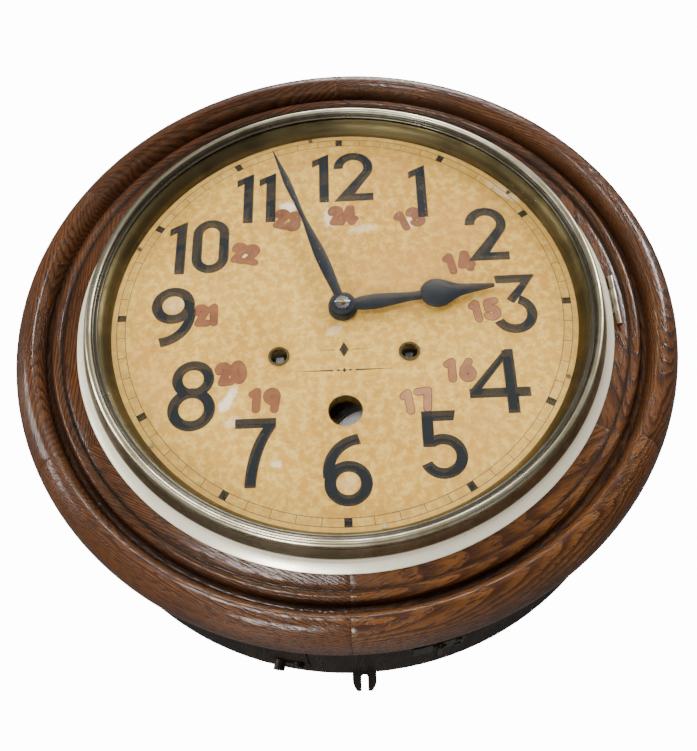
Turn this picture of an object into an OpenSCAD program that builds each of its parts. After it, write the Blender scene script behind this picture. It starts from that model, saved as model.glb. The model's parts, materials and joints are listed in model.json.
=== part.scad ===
// Round schoolhouse wall clock, eight-day time and strike, with a ten-inch dial.
// Units are millimetres. The wall is the plane y = 0, the front faces -Y and +Z is up.
// "Depth" always means the distance behind the dial's face, and is negative in front of it.
// A "clock angle" is measured clockwise from twelve, as the dial is read.

/* [Case] */
// Outer radius of the moulded wooden ring
ring_r = 181; // [179:0.5:184]
// Distance from the dial's face back to the wall
case_depth = 91; // [91:1:100]
// Outer radius of the wooden drum behind the ring
drum_r = 175.6; // [174:0.2:176.4]
// Thickness of the drum's wall
drum_wall = 9; // [8:0.5:10]
// Radius of the opening in the ring behind the dial
ring_bore_r = 112; // [110:1:114]
// Number of glued segments in the ring
segments = 6; // [4:1:8]

/* [Dial] */
// Radius of the metal dial pan
dial_r = 127.5; // [127.2:0.1:128]
// Sideways distance of each winding hole from the centre
key_x = 34.8; // [34:0.1:35.5]
// Height of the winding holes, below the centre
key_z = -28; // [-29:0.1:-27]
// Radius of the clear hole inside each winding eyelet
key_hole_r = 4.45; // [4.2:0.05:4.8]
// Height of the hole that shows the pendulum bob
bob_hole_z = -61.5; // [-63:0.5:-60]
// Radius of the hole that shows the pendulum bob
bob_hole_r = 9; // [8:0.5:10]

/* [Bezel] */
// Outer radius of the brass bezel's flange
flange_r = 146.6; // [146:0.1:147]
// Radius of the opening inside the bezel's lip
lip_r = 131.6; // [131:0.1:132]
// Thickness of the flat glass
glass_t = 1.6; // [1.4:0.1:1.8]
// Length of the bezel hinge's barrel
hinge_len = 31; // [28:1:34]

/* [Hands] */
// Length of the minute hand from the centre to its tip
minute_len = 118.6; // [110:0.2:120]
// Length of the hour hand from the centre to its tip
hour_len = 84; // [80:0.5:86]
// Clock angle at which the minute hand stands
minute_at = 340.5; // [0:0.5:360]
// Clock angle at which the hour hand stands
hour_at = 83.5; // [0:0.5:360]

/* [Movement] */
// Teeth on the time train's great wheel
time_great_teeth = 96; // [90:2:100]
// Teeth on the centre wheel and on the third wheel
train_teeth = 90; // [88:1:92]
// Teeth on the escape wheel
escape_teeth = 40; // [36:1:42]
// Teeth on the strike train's great wheel
strike_great_teeth = 90; // [88:1:92]
// Leaves on the small pinions
leaves = 8; // [8:1:9]

/* [Pendulum and gong] */
// Distance from the suspension to the middle of the bob
pendulum_len = 125; // [122:0.5:127]
// Radius of the pendulum bob
bob_r = 24; // [22:0.5:25]
// Radius of the first half turn of the gong
gong_r = 9; // [9:0.1:9.3]
// Half turns in the gong coil
gong_halves = 9; // [7:1:9]

/* [Hidden] */

$fn = 96;
eps = 0.01;              // overlap that makes cuts run past a face
run = 0.05;              // radial running clearance of a shaft in its hole
fit = 0.02;              // radial clearance of a fixed pin in its hole
gap = 0.35;              // least gap between pieces that move past each other
dial_y = -case_depth;    // plane of the dial's face

// Depths of the case
land_d = 3;              // flat land that the dial pan and the bezel lie on
ring_back_d = 25;
board_t = 8;
board_d = case_depth - board_t;
drum_bore_r = drum_r - drum_wall;
crest_d = -6.5;          // front of the ring's large roll

// Depths of the movement
plate_t = 2;
front_plate_d = 34;
back_plate_d = 74;
inside_d = [front_plate_d + plate_t + 0.4, back_plate_d - 0.4];

// Places of the arbors, as [x, z]
module_fine = 0.5;
module_mid = 0.55;
module_pin = 0.6;
module_strike = 0.8;
strike_pinion = 12;
pin_wheel_teeth = 72;
warning_teeth = 64;
centre = [0, 0];
time_key = [key_x, key_z];
strike_key = [-key_x, key_z];
module_great = 2 * norm(time_key) / (time_great_teeth + leaves);
third = polar(centre, spread(module_mid, train_teeth, leaves), 113);
escape = polar(third, spread(module_fine, train_teeth, leaves), 3);
pin_arbor = polar(strike_key, spread(module_strike, strike_great_teeth, strike_pinion), 100);
lock_arbor = polar(pin_arbor, spread(module_pin, pin_wheel_teeth, leaves), 75);
warn_arbor = polar(lock_arbor, spread(module_fine, pin_wheel_teeth, leaves), 50);
fly_arbor = polar(warn_arbor, spread(module_fine, warning_teeth, leaves), 10);
hammer_arbor = [-58, 34];

// Motion work: 12 to 36 and 10 to 40 gives the hour hand one turn in twelve
cannon_leaves = 12;
minute_teeth = 36;
minute_leaves = 10;
hour_teeth = 40;
minute_arbor = polar(centre, 15, 180);
module_minute = 2 * 15 / (cannon_leaves + minute_teeth);
module_hour = 2 * 15 / (minute_leaves + hour_teeth);

// Escapement and pendulum
escape_r = 17;
verge_at = escape + [0, escape_r * sqrt(2)];
rod_d = 22;              // depth of the pendulum rod's centre line
bob_t = 7;
bob_dome_r = 145;        // radius of the bob's two domed faces

// Radii of shafts
arbor_r = 1.2;
pivot_r = 0.8;
hub_r = 3;               // collet of a train wheel
centre_r = 2.5;
post_r = 1.9;            // centre arbor in front of the plate
minute_stud_r = 1.5;
key_arbor_r = 3;
key_pivot_r = 2;
key_square = 4.2;
key_square_d = [5, 20];
pipe_r = 3.4;            // outside of the hour pipe

// Round window through both plates, in line with the hole in the dial
plate_window_z = -48;
plate_window_r = 14;

// Pillars, screws and nails
pillar_r = 3.5;
pillar_end_r = 2.5;
pillar_at = [[-50, 68], [50, 68], [-64, -66], [64, -66]];
mount_screw_at = [[-56, 58], [56, 58], [-64, -52], [64, -52]];
screw_r = 1.5;
nail_r = 0.6;
nail_ring_r = 125.4;
nail_angles = [for (i = [0:5]) 52 + 60 * i];

// Rails, keyhole plate and steady fork on the back board
rail_x = 60;
rail_size = [20, 156];
hanger_z = 140;
hanger_hole_r = 4;
hanger_slot = 3.2;
hanger_plate_t = 1.5;
hanger_size = [50, 18];
hanger_pocket = 15;
hanger_screw_x = 18;
fork_x = 4;
fork_t = 2;
fork_w = 13;
fork_slot = 3.5;
fork_tip_r = 8;
fork_tip_z = -drum_r - 3.5;
fork_top_z = -150.2;
fork_screw_z = [-155, -162.5];

// Bezel hinge and bottom door
bezel_axis = [148.6, 1.5];                    // [x, depth] of the vertical pin
barrel_r = 1.5;
hinge_pin_r = 0.7;
knuckle = hinge_len / 4;
hinge_leaf_x = [148.2, 149];                  // the leaf stands on edge in a slot in the ring
hinge_leaf_d = 14;
catch_screw_at = [139.5, 14];                 // screws of the bezel's catch spring
catch_screw_r = 1;
door_from = 166;                              // clock angle of the door's hinged edge
door_sweep = 22;
door_d = [34, 77];
door_ledge = 1.5;                             // rabbet that the door closes on, in degrees
door_axis_r = drum_r + 2;
door_barrel_r = 1.6;
door_knuckles = [42, 47, 53, 58];             // depths where the hinge's knuckles meet
leaf_t = 1;
leaf_sweep = 4.2;                             // width of a hinge leaf, in degrees
leaf_screw_at = door_from - 3.2;
leaf_screw_d = [45, 55];
catch_at = 189.7;                             // clock angle of the turn catch's pivot
catch_d = 70;
catch_reach = 10;
catch_pivot_r = 0.9;

// Gong and hammer
gong_at = [-5, -118];
gong_d = 66;
gong_wire_r = 1.2;
gong_step = 3;
gong_screw_x = 12.6;
hammer_head = [-48, -112];
hammer_d = 72.5;

function polar(from, dist, angle) = from + dist * [cos(angle), sin(angle)];
function spread(m, a, b) = m * (a + b) / 2;
function heading(a, b) = atan2(b[1] - a[1], b[0] - a[0]);
function arc(c, r, from, to, steps) =
    [for (i = [0:steps]) polar(c, r, from + (to - from) * i / steps)];
function oval(c, rx, ry, from, to, steps) =
    [for (i = [0:steps]) let (a = from + (to - from) * i / steps) c + [rx * cos(a), ry * sin(a)]];
function mirrored(points) =
    concat(points, [for (i = [len(points) - 1:-1:0]) [points[i][0], -points[i][1]]]);

// A flat outline drawn as seen from the front, x to the right and z up
module slab(front, back)
    translate([0, dial_y + back, 0])
        rotate([90, 0, 0])
            linear_extrude(back - front)
                children();

// A round bar along the depth
module bar(r, front, back, at = [0, 0])
    translate([at[0], dial_y + front, at[1]])
        rotate([-90, 0, 0])
            cylinder(r = r, h = back - front);

// A profile of [radius, depth] points turned about the clock's axis
module turned(from = 0, sweep = 360)
    translate([0, dial_y, 0])
        rotate([-90, 0, 0])
            rotate([0, 0, from - 90])
                rotate_extrude(angle = sweep)
                    children();

// Turns something drawn at twelve o'clock to another clock angle
module at_clock(angle)
    rotate([0, angle, 0])
        children();

// A rectangle from two corners
module span(x, y)
    translate([x[0], y[0]])
        square([x[1] - x[0], y[1] - y[0]]);

// A box from its ranges in x, depth and z
module block(x, d, z)
    translate([x[0], dial_y + d[0], z[0]])
        cube([x[1] - x[0], d[1] - d[0], z[1] - z[0]]);

// Straight round wire between two [x, z] points at one depth
module wire(a, b, d, r)
    translate([a[0], dial_y + d, a[1]])
        rotate([0, 90 - heading(a, b), 0])
            cylinder(r = r, h = norm(b - a));

// ---- Gears ----

// Tooth outlines with straight flanks; sizes are in modules
function toothed(n, m, rise, fall, tip, root) =
    [for (i = [0:n - 1]) for (p = [[-root, -fall], [-tip, rise], [tip, rise], [root, -fall]])
        let (r = m * (n / 2 + p[1]))
            polar([0, 0], r, 360 * i / n + p[0] * m / r * 180 / PI)];
function wheel_teeth(n, m) = toothed(n, m, 0.85, 1.15, 0.3, 0.95);
function pinion_teeth(n, m) = toothed(n, m, 0.75, 1.25, 0.3, 0.62);

// One window between the arms of a wheel
function window(r_in, r_out, sweep) =
    concat(arc([0, 0], r_in, -sweep / 2, sweep / 2, 6), arc([0, 0], r_out, sweep / 2, -sweep / 2, 10));

// A wheel at a place, one tooth pointing along the heading
module wheel(at, n, m, d, bore, aim = 0, arms = 5, hub = 5, rim = 2.6)
    slab(d[0], d[1])
        translate(at)
            rotate(aim)
                difference() {
                    polygon(wheel_teeth(n, m));
                    circle(bore);
                    for (i = [0:arms - 1])
                        rotate(360 / arms * (i + 0.5))
                            polygon(window(hub, m * n / 2 - rim, 360 / arms - 16));
                }

// A pinion at a place, one space pointing along the heading
module pinion(at, n, m, d, bore, aim = 0)
    slab(d[0], d[1])
        translate(at)
            rotate(aim + 180 / n)
                difference() {
                    polygon(pinion_teeth(n, m));
                    circle(bore);
                }

// A plain arbor with a pivot at each end, in the two plates
module arbor(at) {
    bar(arbor_r, inside_d[0], inside_d[1], at);
    bar(pivot_r, front_plate_d, back_plate_d + plate_t, at);
}

// A wheel and its pinion, both fast on one arbor
module wheel_on_arbor(at, n, m, d, wheel_aim, pinion_m, pinion_d, pinion_aim,
                      pinion_n = leaves, rim = 2.6) {
    arbor(at);
    wheel(at, n, m, d, arbor_r - eps, wheel_aim, rim = rim);
    bar(hub_r, d[1] - eps, d[1] + 1.5, at);
    pinion(at, pinion_n, pinion_m, pinion_d, arbor_r - eps, pinion_aim);
}

// ---- Case ----

function ring_profile() = concat(
    [[ring_bore_r, ring_back_d], [ring_bore_r, land_d]],
    arc([157.3, land_d + 0.2], 2.9, 180, 345, 8),
    arc([162.4, 5.6], 2.2, 180, 30, 6),
    oval([ring_r - 12, 7], 4.8, 7 - crest_d, 185, 270, 8),
    oval([ring_r - 12, 11.5], 12, 11.5 - crest_d, 276, 378, 16),
    [[drum_r + 2.4, ring_back_d]]
);

module ring_segments() {
    sweep = 360 / segments;
    joint = 0.03;        // half the glue line, in degrees
    color("saddlebrown")
        difference() {
            for (i = [0:segments - 1])
                turned(i * sweep + joint, sweep - 2 * joint)
                    polygon(ring_profile());
            for (a = nail_angles)
                at_clock(a)
                    bar(nail_r + fit, 0, 13, [0, nail_ring_r]);
            block([hinge_leaf_x[0] - 0.1, hinge_leaf_x[1] + 0.1], [0, hinge_leaf_d + 0.2],
                  [-hinge_len / 2 - 0.2, hinge_len / 2 + 0.2]);
            for (s = [-1, 1])
                bar(catch_screw_r + fit, 0, 12, [-catch_screw_at[0], s * catch_screw_at[1]]);
        }
}

module case_drum()
    color([0.2, 0.16, 0.13])
        difference() {
            turned() span([drum_bore_r, drum_r], [ring_back_d, case_depth]);
            turned(door_from, door_sweep)
                span([drum_r - 6.6, drum_r + 1], door_d);
            turned(door_from + door_ledge, door_sweep - 2 * door_ledge)
                span([drum_bore_r - 1, drum_r - 6], [door_d[0] + 4, door_d[1] - 4]);
            backboard_screw_holes();
            door_screw_holes();
            fork_recess();
        }

module backboard()
    color([0.35, 0.24, 0.16])
        difference() {
            bar(drum_bore_r - 0.1, board_d, case_depth);
            backboard_screw_holes();
            hanger_recess();
            fork_recess();
            for (p = mount_screw_at)
                bar(screw_r + fit, board_d - 1, board_d + 6, p);
            for (z = fork_screw_z)
                bar(screw_r + fit, board_d + 0.8, case_depth, [fork_x, z]);
            for (s = [-1, 1])
                bar(screw_r + fit, board_d - 1, board_d + 6, gong_at + [s * gong_screw_x, 0]);
        }

// Countersunk screw drawn along -Z from its flat head at the origin
module screw(length, r = screw_r, clear = 0) {
    translate([0, 0, -length - clear])
        cylinder(r = r + clear, h = length + clear);
    translate([0, 0, -r - clear])
        cylinder(r1 = r + clear, r2 = 2 * r + clear, h = r + 2 * clear);
}

board_screw_angles = [for (i = [0:5]) 30 + 60 * i];
module backboard_screw_row(clear)
    for (a = board_screw_angles)
        at_clock(a)
            translate([0, -board_t / 2, drum_r - 0.4])
                screw(22, screw_r, clear);
module backboard_screw_holes() backboard_screw_row(fit);
module backboard_screws() color("goldenrod") backboard_screw_row(0);

// Keyhole plate let into the back, and the pocket behind it for the nail's head
module hanger_recess() {
    slab(case_depth - hanger_plate_t, case_depth + 1)
        translate([0, hanger_z])
            square(hanger_size, center = true);
    slab(board_d - 1, case_depth)
        translate([0, hanger_z])
            square(hanger_pocket, center = true);
    for (s = [-1, 1])
        bar(screw_r + fit, board_d, case_depth, [s * hanger_screw_x, hanger_z]);
}
module hanger_plate()
    color("dimgray")
        slab(case_depth - hanger_plate_t, case_depth)
            difference() {
                translate([0, hanger_z])
                    square(hanger_size - [0.4, 0.4], center = true);
                translate([0, hanger_z])
                    circle(hanger_hole_r);
                translate([-hanger_slot / 2, hanger_z])
                    square([hanger_slot, hanger_pocket / 2]);
                for (s = [-1, 1])
                    translate([s * hanger_screw_x, hanger_z])
                        circle(screw_r + fit);
            }

// Forked plate that straddles a pin in the wall and keeps the clock upright
module fork_recess()
    slab(case_depth - fork_t - 0.1, case_depth + 1)
        span([fork_x - fork_w / 2 - 0.1, fork_x + fork_w / 2 + 0.1], [-drum_r - 2, fork_top_z + 0.2]);
module steady_fork()
    color([0.25, 0.22, 0.18])
        slab(case_depth - fork_t, case_depth)
            difference() {
                translate([fork_x, 0])
                    polygon(concat(
                        [[fork_w / 2, fork_top_z], [-fork_w / 2, fork_top_z]],
                        arc([fork_tip_r - fork_w / 2, fork_tip_z], fork_tip_r, 180, 228, 5),
                        arc([fork_w / 2 - fork_tip_r, fork_tip_z], fork_tip_r, 312, 360, 5)));
                translate([fork_x, fork_tip_z + 1])
                    circle(fork_slot / 2);
                span([fork_x - fork_slot / 2, fork_x + fork_slot / 2], [-drum_r - 20, fork_tip_z + 1]);
                for (z = fork_screw_z)
                    translate([fork_x, z])
                        circle(screw_r + fit);
            }

// Round-headed screws along the depth, heads towards the front
module plate_screw(at, head_d, length) {
    bar(screw_r, head_d, head_d + length, at);
    bar(2.8, head_d - 1.3, head_d, at);
}
// The same screw put in from the back
module back_screw(at, length)
    bar(screw_r, case_depth - length, case_depth - 0.2, at);
module plate_screws()
    color("goldenrod") {
        for (p = mount_screw_at)
            plate_screw(p, back_plate_d, 14);
        for (s = [-1, 1]) {
            plate_screw(gong_at + [s * gong_screw_x, 0], board_d - 3, 8);
            back_screw([s * hanger_screw_x, hanger_z], 7);
        }
        for (z = fork_screw_z)
            back_screw([fork_x, z], 7);
    }

module movement_rails()
    color("peru")
        difference() {
            for (s = [-1, 1])
                slab(back_plate_d + plate_t, board_d)
                    translate([s * rail_x, 0])
                        square(rail_size, center = true);
            for (p = mount_screw_at)
                bar(screw_r + fit, back_plate_d, board_d + 1, p);
        }

// ---- Dial ----

module dial_holes() {
    circle(6);
    for (s = [-1, 1])
        translate([s * key_x, key_z])
            circle(5);
    translate([0, bob_hole_z])
        circle(bob_hole_r);
    for (a = nail_angles)
        translate(polar([0, 0], nail_ring_r, 90 - a))
            circle(nail_r + fit);
}
paper_t = 0.3;
module dial_paper()
    color("tan")
        slab(0, paper_t)
            difference() {
                circle(dial_r - 0.4);
                dial_holes();
            }
module dial_plate()
    color("silver") {
        slab(paper_t, paper_t + 0.6)
            difference() {
                circle(dial_r);
                dial_holes();
            }
        turned() span([dial_r - 0.7, dial_r], [paper_t + 0.5, land_d]);
    }
module dial_nails()
    color("darkgoldenrod")
        for (a = nail_angles)
            at_clock(a) {
                bar(nail_r, -0.1, 12, [0, nail_ring_r]);
                bar(1.2, -0.5, 0, [0, nail_ring_r]);
            }
module keyhole_eyelets()
    color("darkkhaki")
        for (s = [-1, 1])
            translate([s * key_x, 0, key_z]) {
                turned() span([key_hole_r, 5 - fit], [-0.5, 2]);
                turned() span([key_hole_r, 5.7], [-0.6, 0]);
            }

// ---- Bezel ----

lip_d = -11.6;
glass_d = lip_d + 0.6;
glass_back_d = glass_d + glass_t;
glass_r = lip_r + 1.2;
module bezel_ring()
    color("darkkhaki")
        difference() {
            turned() {
                span([lip_r, 135], [lip_d, glass_d]);
                span([glass_r + 0.1, 135], [lip_d, glass_back_d + 1]);
                translate([136.1, -11.8])
                    circle(2.3);
                polygon([[135, -10.2], [138.2, -11.6], [141.9, -1.8], [flange_r, 2.1], [flange_r, 2.8],
                         [flange_r - 0.8, 2.8], [141, -0.7], [137, -9]]);
            }
            block([140, 150], [2.1, 4], [-knuckle + 0.1, knuckle - 0.1]);
            block([147 - 0.6, 151], [-1, 4], [-hinge_len / 2 - 0.5, hinge_len / 2 + 0.5]);
            block([-142, -138.7], [-3.2, 0], [-5.2, 5.2]);
        }
module sight_ring()
    color("darkkhaki")
        turned()
            polygon([[glass_r + 0.05, glass_back_d], [glass_r + 0.05, glass_back_d + 1], [127.6, -0.4],
                     [127, -0.4], [127, -1], [glass_r - 0.9, glass_back_d]]);
module bezel_glass()
    color([0.8, 0.9, 0.9, 0.3])
        bar(glass_r, glass_d, glass_back_d);

// One tube of a hinge barrel, drawn along +Z from the origin
module tube(r_out, r_in, length)
    difference() {
        cylinder(r = r_out, h = length);
        translate([0, 0, -1])
            cylinder(r = r_in, h = length + 2);
    }
module bezel_hinge_strap()
    color("silver")
        difference() {
            union() {
                translate([bezel_axis[0], dial_y + bezel_axis[1], -knuckle + 0.2])
                    cylinder(r = barrel_r, h = 2 * knuckle - 0.4);
                block([137, bezel_axis[0]], [2.2, 2.8], [-knuckle + 0.2, knuckle - 0.2]);
            }
            translate([bezel_axis[0], dial_y + bezel_axis[1], -hinge_len])
                cylinder(r = hinge_pin_r + run, h = 2 * hinge_len);
        }
module bezel_hinge_leaf()
    color("silver")
        difference() {
            for (s = [-1, 1])
                translate([0, 0, s * 1.5 * knuckle]) {
                    translate([bezel_axis[0], dial_y + bezel_axis[1], -knuckle / 2])
                        cylinder(r = barrel_r, h = knuckle);
                    block(hinge_leaf_x, [bezel_axis[1], hinge_leaf_d], [-knuckle / 2, knuckle / 2]);
                }
            translate([bezel_axis[0], dial_y + bezel_axis[1], -hinge_len])
                cylinder(r = hinge_pin_r + fit, h = 2 * hinge_len);
        }
module hinge_pins()
    color("dimgray") {
        translate([bezel_axis[0], dial_y + bezel_axis[1], -hinge_len / 2])
            cylinder(r = hinge_pin_r, h = hinge_len);
        at_clock(door_from)
            bar(hinge_pin_r, door_knuckles[0] - 0.5, door_knuckles[3] + 0.5, [0, door_axis_r]);
    }
module bezel_catch_spring()
    color("goldenrod") {
        block([-138.2, -137.6], [-2.5, land_d], [-9, 9]);
        block([-141.5, -137.6], [2.2, land_d], [-17, 17]);
        for (s = [-1, 1]) {
            bar(catch_screw_r, 2.3, 11, [-catch_screw_at[0], s * catch_screw_at[1]]);
            bar(1.7, 1.4, 2.3, [-catch_screw_at[0], s * catch_screw_at[1]]);
        }
    }

// ---- Bottom door ----

// Shank of a small round-headed screw driven straight into the drum
module radial_shank(angle, d, clear = 0)
    at_clock(angle)
        translate([0, dial_y + d, drum_r - 5 - clear])
            cylinder(r = catch_pivot_r + clear, h = 6.5 + clear);
module radial_screw(angle, d, head_r, head_from, head_t) {
    radial_shank(angle, d);
    at_clock(angle)
        translate([0, dial_y + d, drum_r + head_from])
            cylinder(r = head_r, h = head_t);
}
module door_screw_holes() {
    for (d = leaf_screw_d)
        radial_shank(leaf_screw_at, d, fit);
    radial_shank(catch_at, catch_d, fit);
}
module hinge_screws()
    color("goldenrod") {
        for (d = leaf_screw_d)
            radial_screw(leaf_screw_at, d, 1.8, leaf_t + 0.1, 0.7);
        radial_screw(catch_at, catch_d, 2.6, leaf_t + 0.5, 1);
    }
module bottom_door()
    color([0.2, 0.16, 0.13])
        turned(door_from + 0.2, door_sweep - 0.4)
            span([drum_r - 6.2, drum_r], [door_d[0] + gap, door_d[1] - gap]);

// Curved hinge leaf, and what it loses where the other leaf's knuckles stand
module leaf(from)
    turned(from, leaf_sweep)
        span([drum_r + 0.04, drum_r + leaf_t], [door_knuckles[0], door_knuckles[3]]);
module knuckle_notch(d)
    turned(door_from - 1.2, 2.4)
        span([drum_r - 1, drum_r + 5], d);
module door_knuckle(d)
    at_clock(door_from)
        bar(door_barrel_r, d[0], d[1], [0, door_axis_r]);
module door_pin_hole(clear)
    at_clock(door_from)
        bar(hinge_pin_r + clear, 0, case_depth, [0, door_axis_r]);
module door_hinge_leaf()
    color("dimgray")
        difference() {
            union() {
                for (i = [0, 2])
                    door_knuckle([door_knuckles[i], door_knuckles[i + 1]]);
                difference() {
                    leaf(door_from - 0.2 - leaf_sweep);
                    knuckle_notch([door_knuckles[1], door_knuckles[2]]);
                }
            }
            door_pin_hole(fit);
            door_screw_holes();
        }
module door_hinge_strap()
    color("dimgray")
        difference() {
            union() {
                door_knuckle([door_knuckles[1] + gap, door_knuckles[2] - gap]);
                difference() {
                    leaf(door_from + 0.2);
                    knuckle_notch([door_knuckles[0] - 1, door_knuckles[1] + gap]);
                    knuckle_notch([door_knuckles[2] - gap, door_knuckles[3] + 1]);
                }
            }
            door_pin_hole(run);
        }

// Turn catch: a flat button with a raised finger end, turned clear of the door
module door_catch()
    color("peru")
        at_clock(catch_at)
            translate([0, dial_y + catch_d, drum_r + 0.3])
                difference() {
                    union() {
                        cylinder(r = 3.2, h = leaf_t);
                        translate([0, -1.8, 0])
                            cube([catch_reach, 3.6, leaf_t]);
                        translate([catch_reach, 0, 0])
                            cylinder(r = 3, h = 4.6);
                    }
                    translate([0, 0, -1])
                        cylinder(r = catch_pivot_r + run, h = 4);
                }

// ---- Movement frame ----

train_arbors = [third, escape, pin_arbor, lock_arbor, warn_arbor, fly_arbor, hammer_arbor];

module plate_outline()
    polygon([[-56, 76], [56, 76], [60, 72], [71, -68], [67, -73], [-67, -73], [-71, -68], [-60, 72]]);
module pivot_holes(key_r, centre_hole_r) {
    for (p = train_arbors)
        translate(p)
            circle(pivot_r + run);
    for (p = [time_key, strike_key])
        translate(p)
            circle(key_r + run);
    for (p = pillar_at)
        translate(p)
            circle(pillar_end_r + fit);
    circle(centre_hole_r + run);
}
module plate_window()
    translate([0, plate_window_z])
        circle(plate_window_r);
module front_plate()
    color("darkkhaki") {
        slab(front_plate_d, front_plate_d + plate_t)
            difference() {
                plate_outline();
                pivot_holes(key_arbor_r, centre_r);
                translate(verge_at)
                    circle(arbor_r + gap);
                translate(suspension_at)
                    circle(pillar_end_r + fit);
                plate_window();
            }
        bar(minute_stud_r, 25.5, front_plate_d + eps, minute_arbor);
    }
module back_plate()
    color("darkkhaki")
        slab(back_plate_d, back_plate_d + plate_t)
            difference() {
                plate_outline();
                pivot_holes(key_pivot_r, 1.2);
                translate(verge_at)
                    circle(pivot_r + run);
                for (p = mount_screw_at)
                    translate(p)
                        circle(screw_r + fit);
                plate_window();
            }
module pillars()
    color("darkkhaki")
        for (p = pillar_at) {
            bar(pillar_r, front_plate_d + plate_t, back_plate_d, p);
            bar(pillar_end_r, front_plate_d - 4, back_plate_d + plate_t, p);
        }
module pillar_nuts()
    color("goldenrod")
        for (p = pillar_at)
            slab(front_plate_d - 2.8, front_plate_d)
                translate(p)
                    difference() {
                        circle(4.6, $fn = 6);
                        circle(pillar_end_r + fit);
                    }

// Post on the front plate with the slotted block that the pendulum hangs from
suspension_at = verge_at + [0, 9];
module suspension_stud()
    color("goldenrod")
        difference() {
            union() {
                bar(pillar_end_r, 19, front_plate_d + plate_t, suspension_at);
                bar(4, 24.5, 27, suspension_at);
                translate([verge_at[0], 0, verge_at[1]])
                    block([-4, 4], [rod_d - 2.8, rod_d + 2.8], [0.3, 10]);
            }
            translate([verge_at[0], 0, verge_at[1]])
                block([-0.6, 0.6], [rod_d - 4, rod_d + 4], [0, 4]);
        }

// ---- Mainsprings ----

spring_d = [45, 63];
spring_r = 7.5;
spring_pitch = 3;
spring_halves = 16;
spring_t = 0.5;
module half_turn(i, r, pitch)
    rotate([0, i % 2 == 0 ? 0 : 180, 0])
        translate([i % 2 == 0 ? 0 : -pitch / 2, dial_y, 0])
            rotate([90, 0, 0])
                rotate_extrude(angle = 180)
                    translate([r + i * pitch / 2, 0])
                        children();
// Side is 1 for the spring on the right and -1 for the one on the left
module mainspring(side) {
    key = [side * key_x, key_z];
    post = pillar_at[side > 0 ? 3 : 2];
    end_r = spring_r + (spring_halves - 1) * spring_pitch / 2;
    lean = acos((end_r - spring_pitch / 2 + pillar_r + 1.3) / norm(post - key));
    translate([key[0], 0, key[1]])
        rotate([0, -heading(key, post) - lean, 0]) {
            for (i = [0:spring_halves - 1])
                half_turn(i, spring_r, spring_pitch)
                    translate([0, -spring_d[1]])
                        square([spring_t, spring_d[1] - spring_d[0]]);
        }
}
module mainsprings()
    color("slategray")
        for (s = [-1, 1])
            mainspring(s);

// ---- Going train and hands ----

centre_pinion_d = [37, 41];
time_great_d = [38, 40];
third_pinion_d = [64, 68];
centre_wheel_d = [65.5, 67];
third_wheel_d = [58, 59.5];
escape_pinion_d = [57, 60.5];
escape_wheel_d = [44, 45.2];
cannon_d = [29.8, 32];
minute_wheel_d = [30.2, 31.6];
hour_wheel_d = [26.8, 28.4];
minute_pinion_d = [26.4, 30.4];
minute_hand_d = [-7.1, -6.1];
hour_hand_d = [-4.8, -3.9];
hand_square = 2.6;

module taper_pin_bar(clear)
    translate([-4.2, dial_y + minute_hand_d[0] - 1.1, 0])
        rotate([0, 90, 0])
            cylinder(r = 0.45 + clear, h = 8.4);
module centre_post()
    difference() {
        union() {
            bar(post_r, minute_hand_d[1] + 0.02, front_plate_d + eps);
            slab(minute_hand_d[0] - 0.3, minute_hand_d[1] + 0.1)
                square(hand_square, center = true);
            bar(hand_square / 2 - 0.1, -9, minute_hand_d[0]);
        }
        taper_pin_bar(fit);
    }
module centre_wheel()
    color("goldenrod") {
        centre_post();
        bar(centre_r, inside_d[0], inside_d[1]);
        bar(centre_r, front_plate_d, inside_d[0] + eps);
        bar(1.2, back_plate_d - 1, back_plate_d + plate_t);
        wheel(centre, train_teeth, module_mid, centre_wheel_d, centre_r - eps, heading(centre, third),
              hub = 6);
        bar(5, centre_wheel_d[1] - eps, centre_wheel_d[1] + 2);
        pinion(centre, leaves, module_great, centre_pinion_d, centre_r - 0.3, heading(centre, time_key));
    }
module cannon_pinion()
    color("goldenrod")
        pinion(centre, cannon_leaves, module_minute, cannon_d, post_r + fit, heading(centre, minute_arbor));
module minute_hand()
    color([0.2, 0.22, 0.28])
        difference() {
            union() {
                bar(7.3, minute_hand_d[0], minute_hand_d[1]);
                slab(minute_hand_d[0], minute_hand_d[1])
                    rotate(90 - minute_at)
                        polygon(mirrored([[5, 2.4], [20, 3.1], [36, 3.4], [49, 2.5], [58, 1.6], [66, 1.25],
                                          [76, 1.7], [90, 2.2], [104, 1.3], [minute_len, 0.35]]));
            }
            slab(minute_hand_d[0] - 1, minute_hand_d[1] + 1)
                square(hand_square + 2 * fit, center = true);
        }
module hand_washer()
    color("goldenrod")
        turned() span([hand_square / 2 * sqrt(2) + fit, 4], [minute_hand_d[0] - 0.5, minute_hand_d[0]]);
module taper_pin()
    color("silver")
        taper_pin_bar(0);
module minute_wheel()
    color("goldenrod")
        difference() {
            union() {
                wheel(minute_arbor, minute_teeth, module_minute, minute_wheel_d, minute_stud_r - 0.3,
                      heading(minute_arbor, centre), arms = 4, hub = 4, rim = 2.4);
                pinion(minute_arbor, minute_leaves, module_hour, minute_pinion_d, minute_stud_r - 0.3,
                       heading(minute_arbor, centre));
            }
            bar(minute_stud_r + run, 20, 40, minute_arbor);
        }
module hour_wheel()
    color("goldenrod") {
        wheel(centre, hour_teeth, module_hour, hour_wheel_d, post_r + run, heading(centre, minute_arbor),
              arms = 4, hub = 5, rim = 2.4);
        turned() span([post_r + run, pipe_r], [hour_hand_d[0] - 0.4, hour_wheel_d[1]]);
    }
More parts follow.
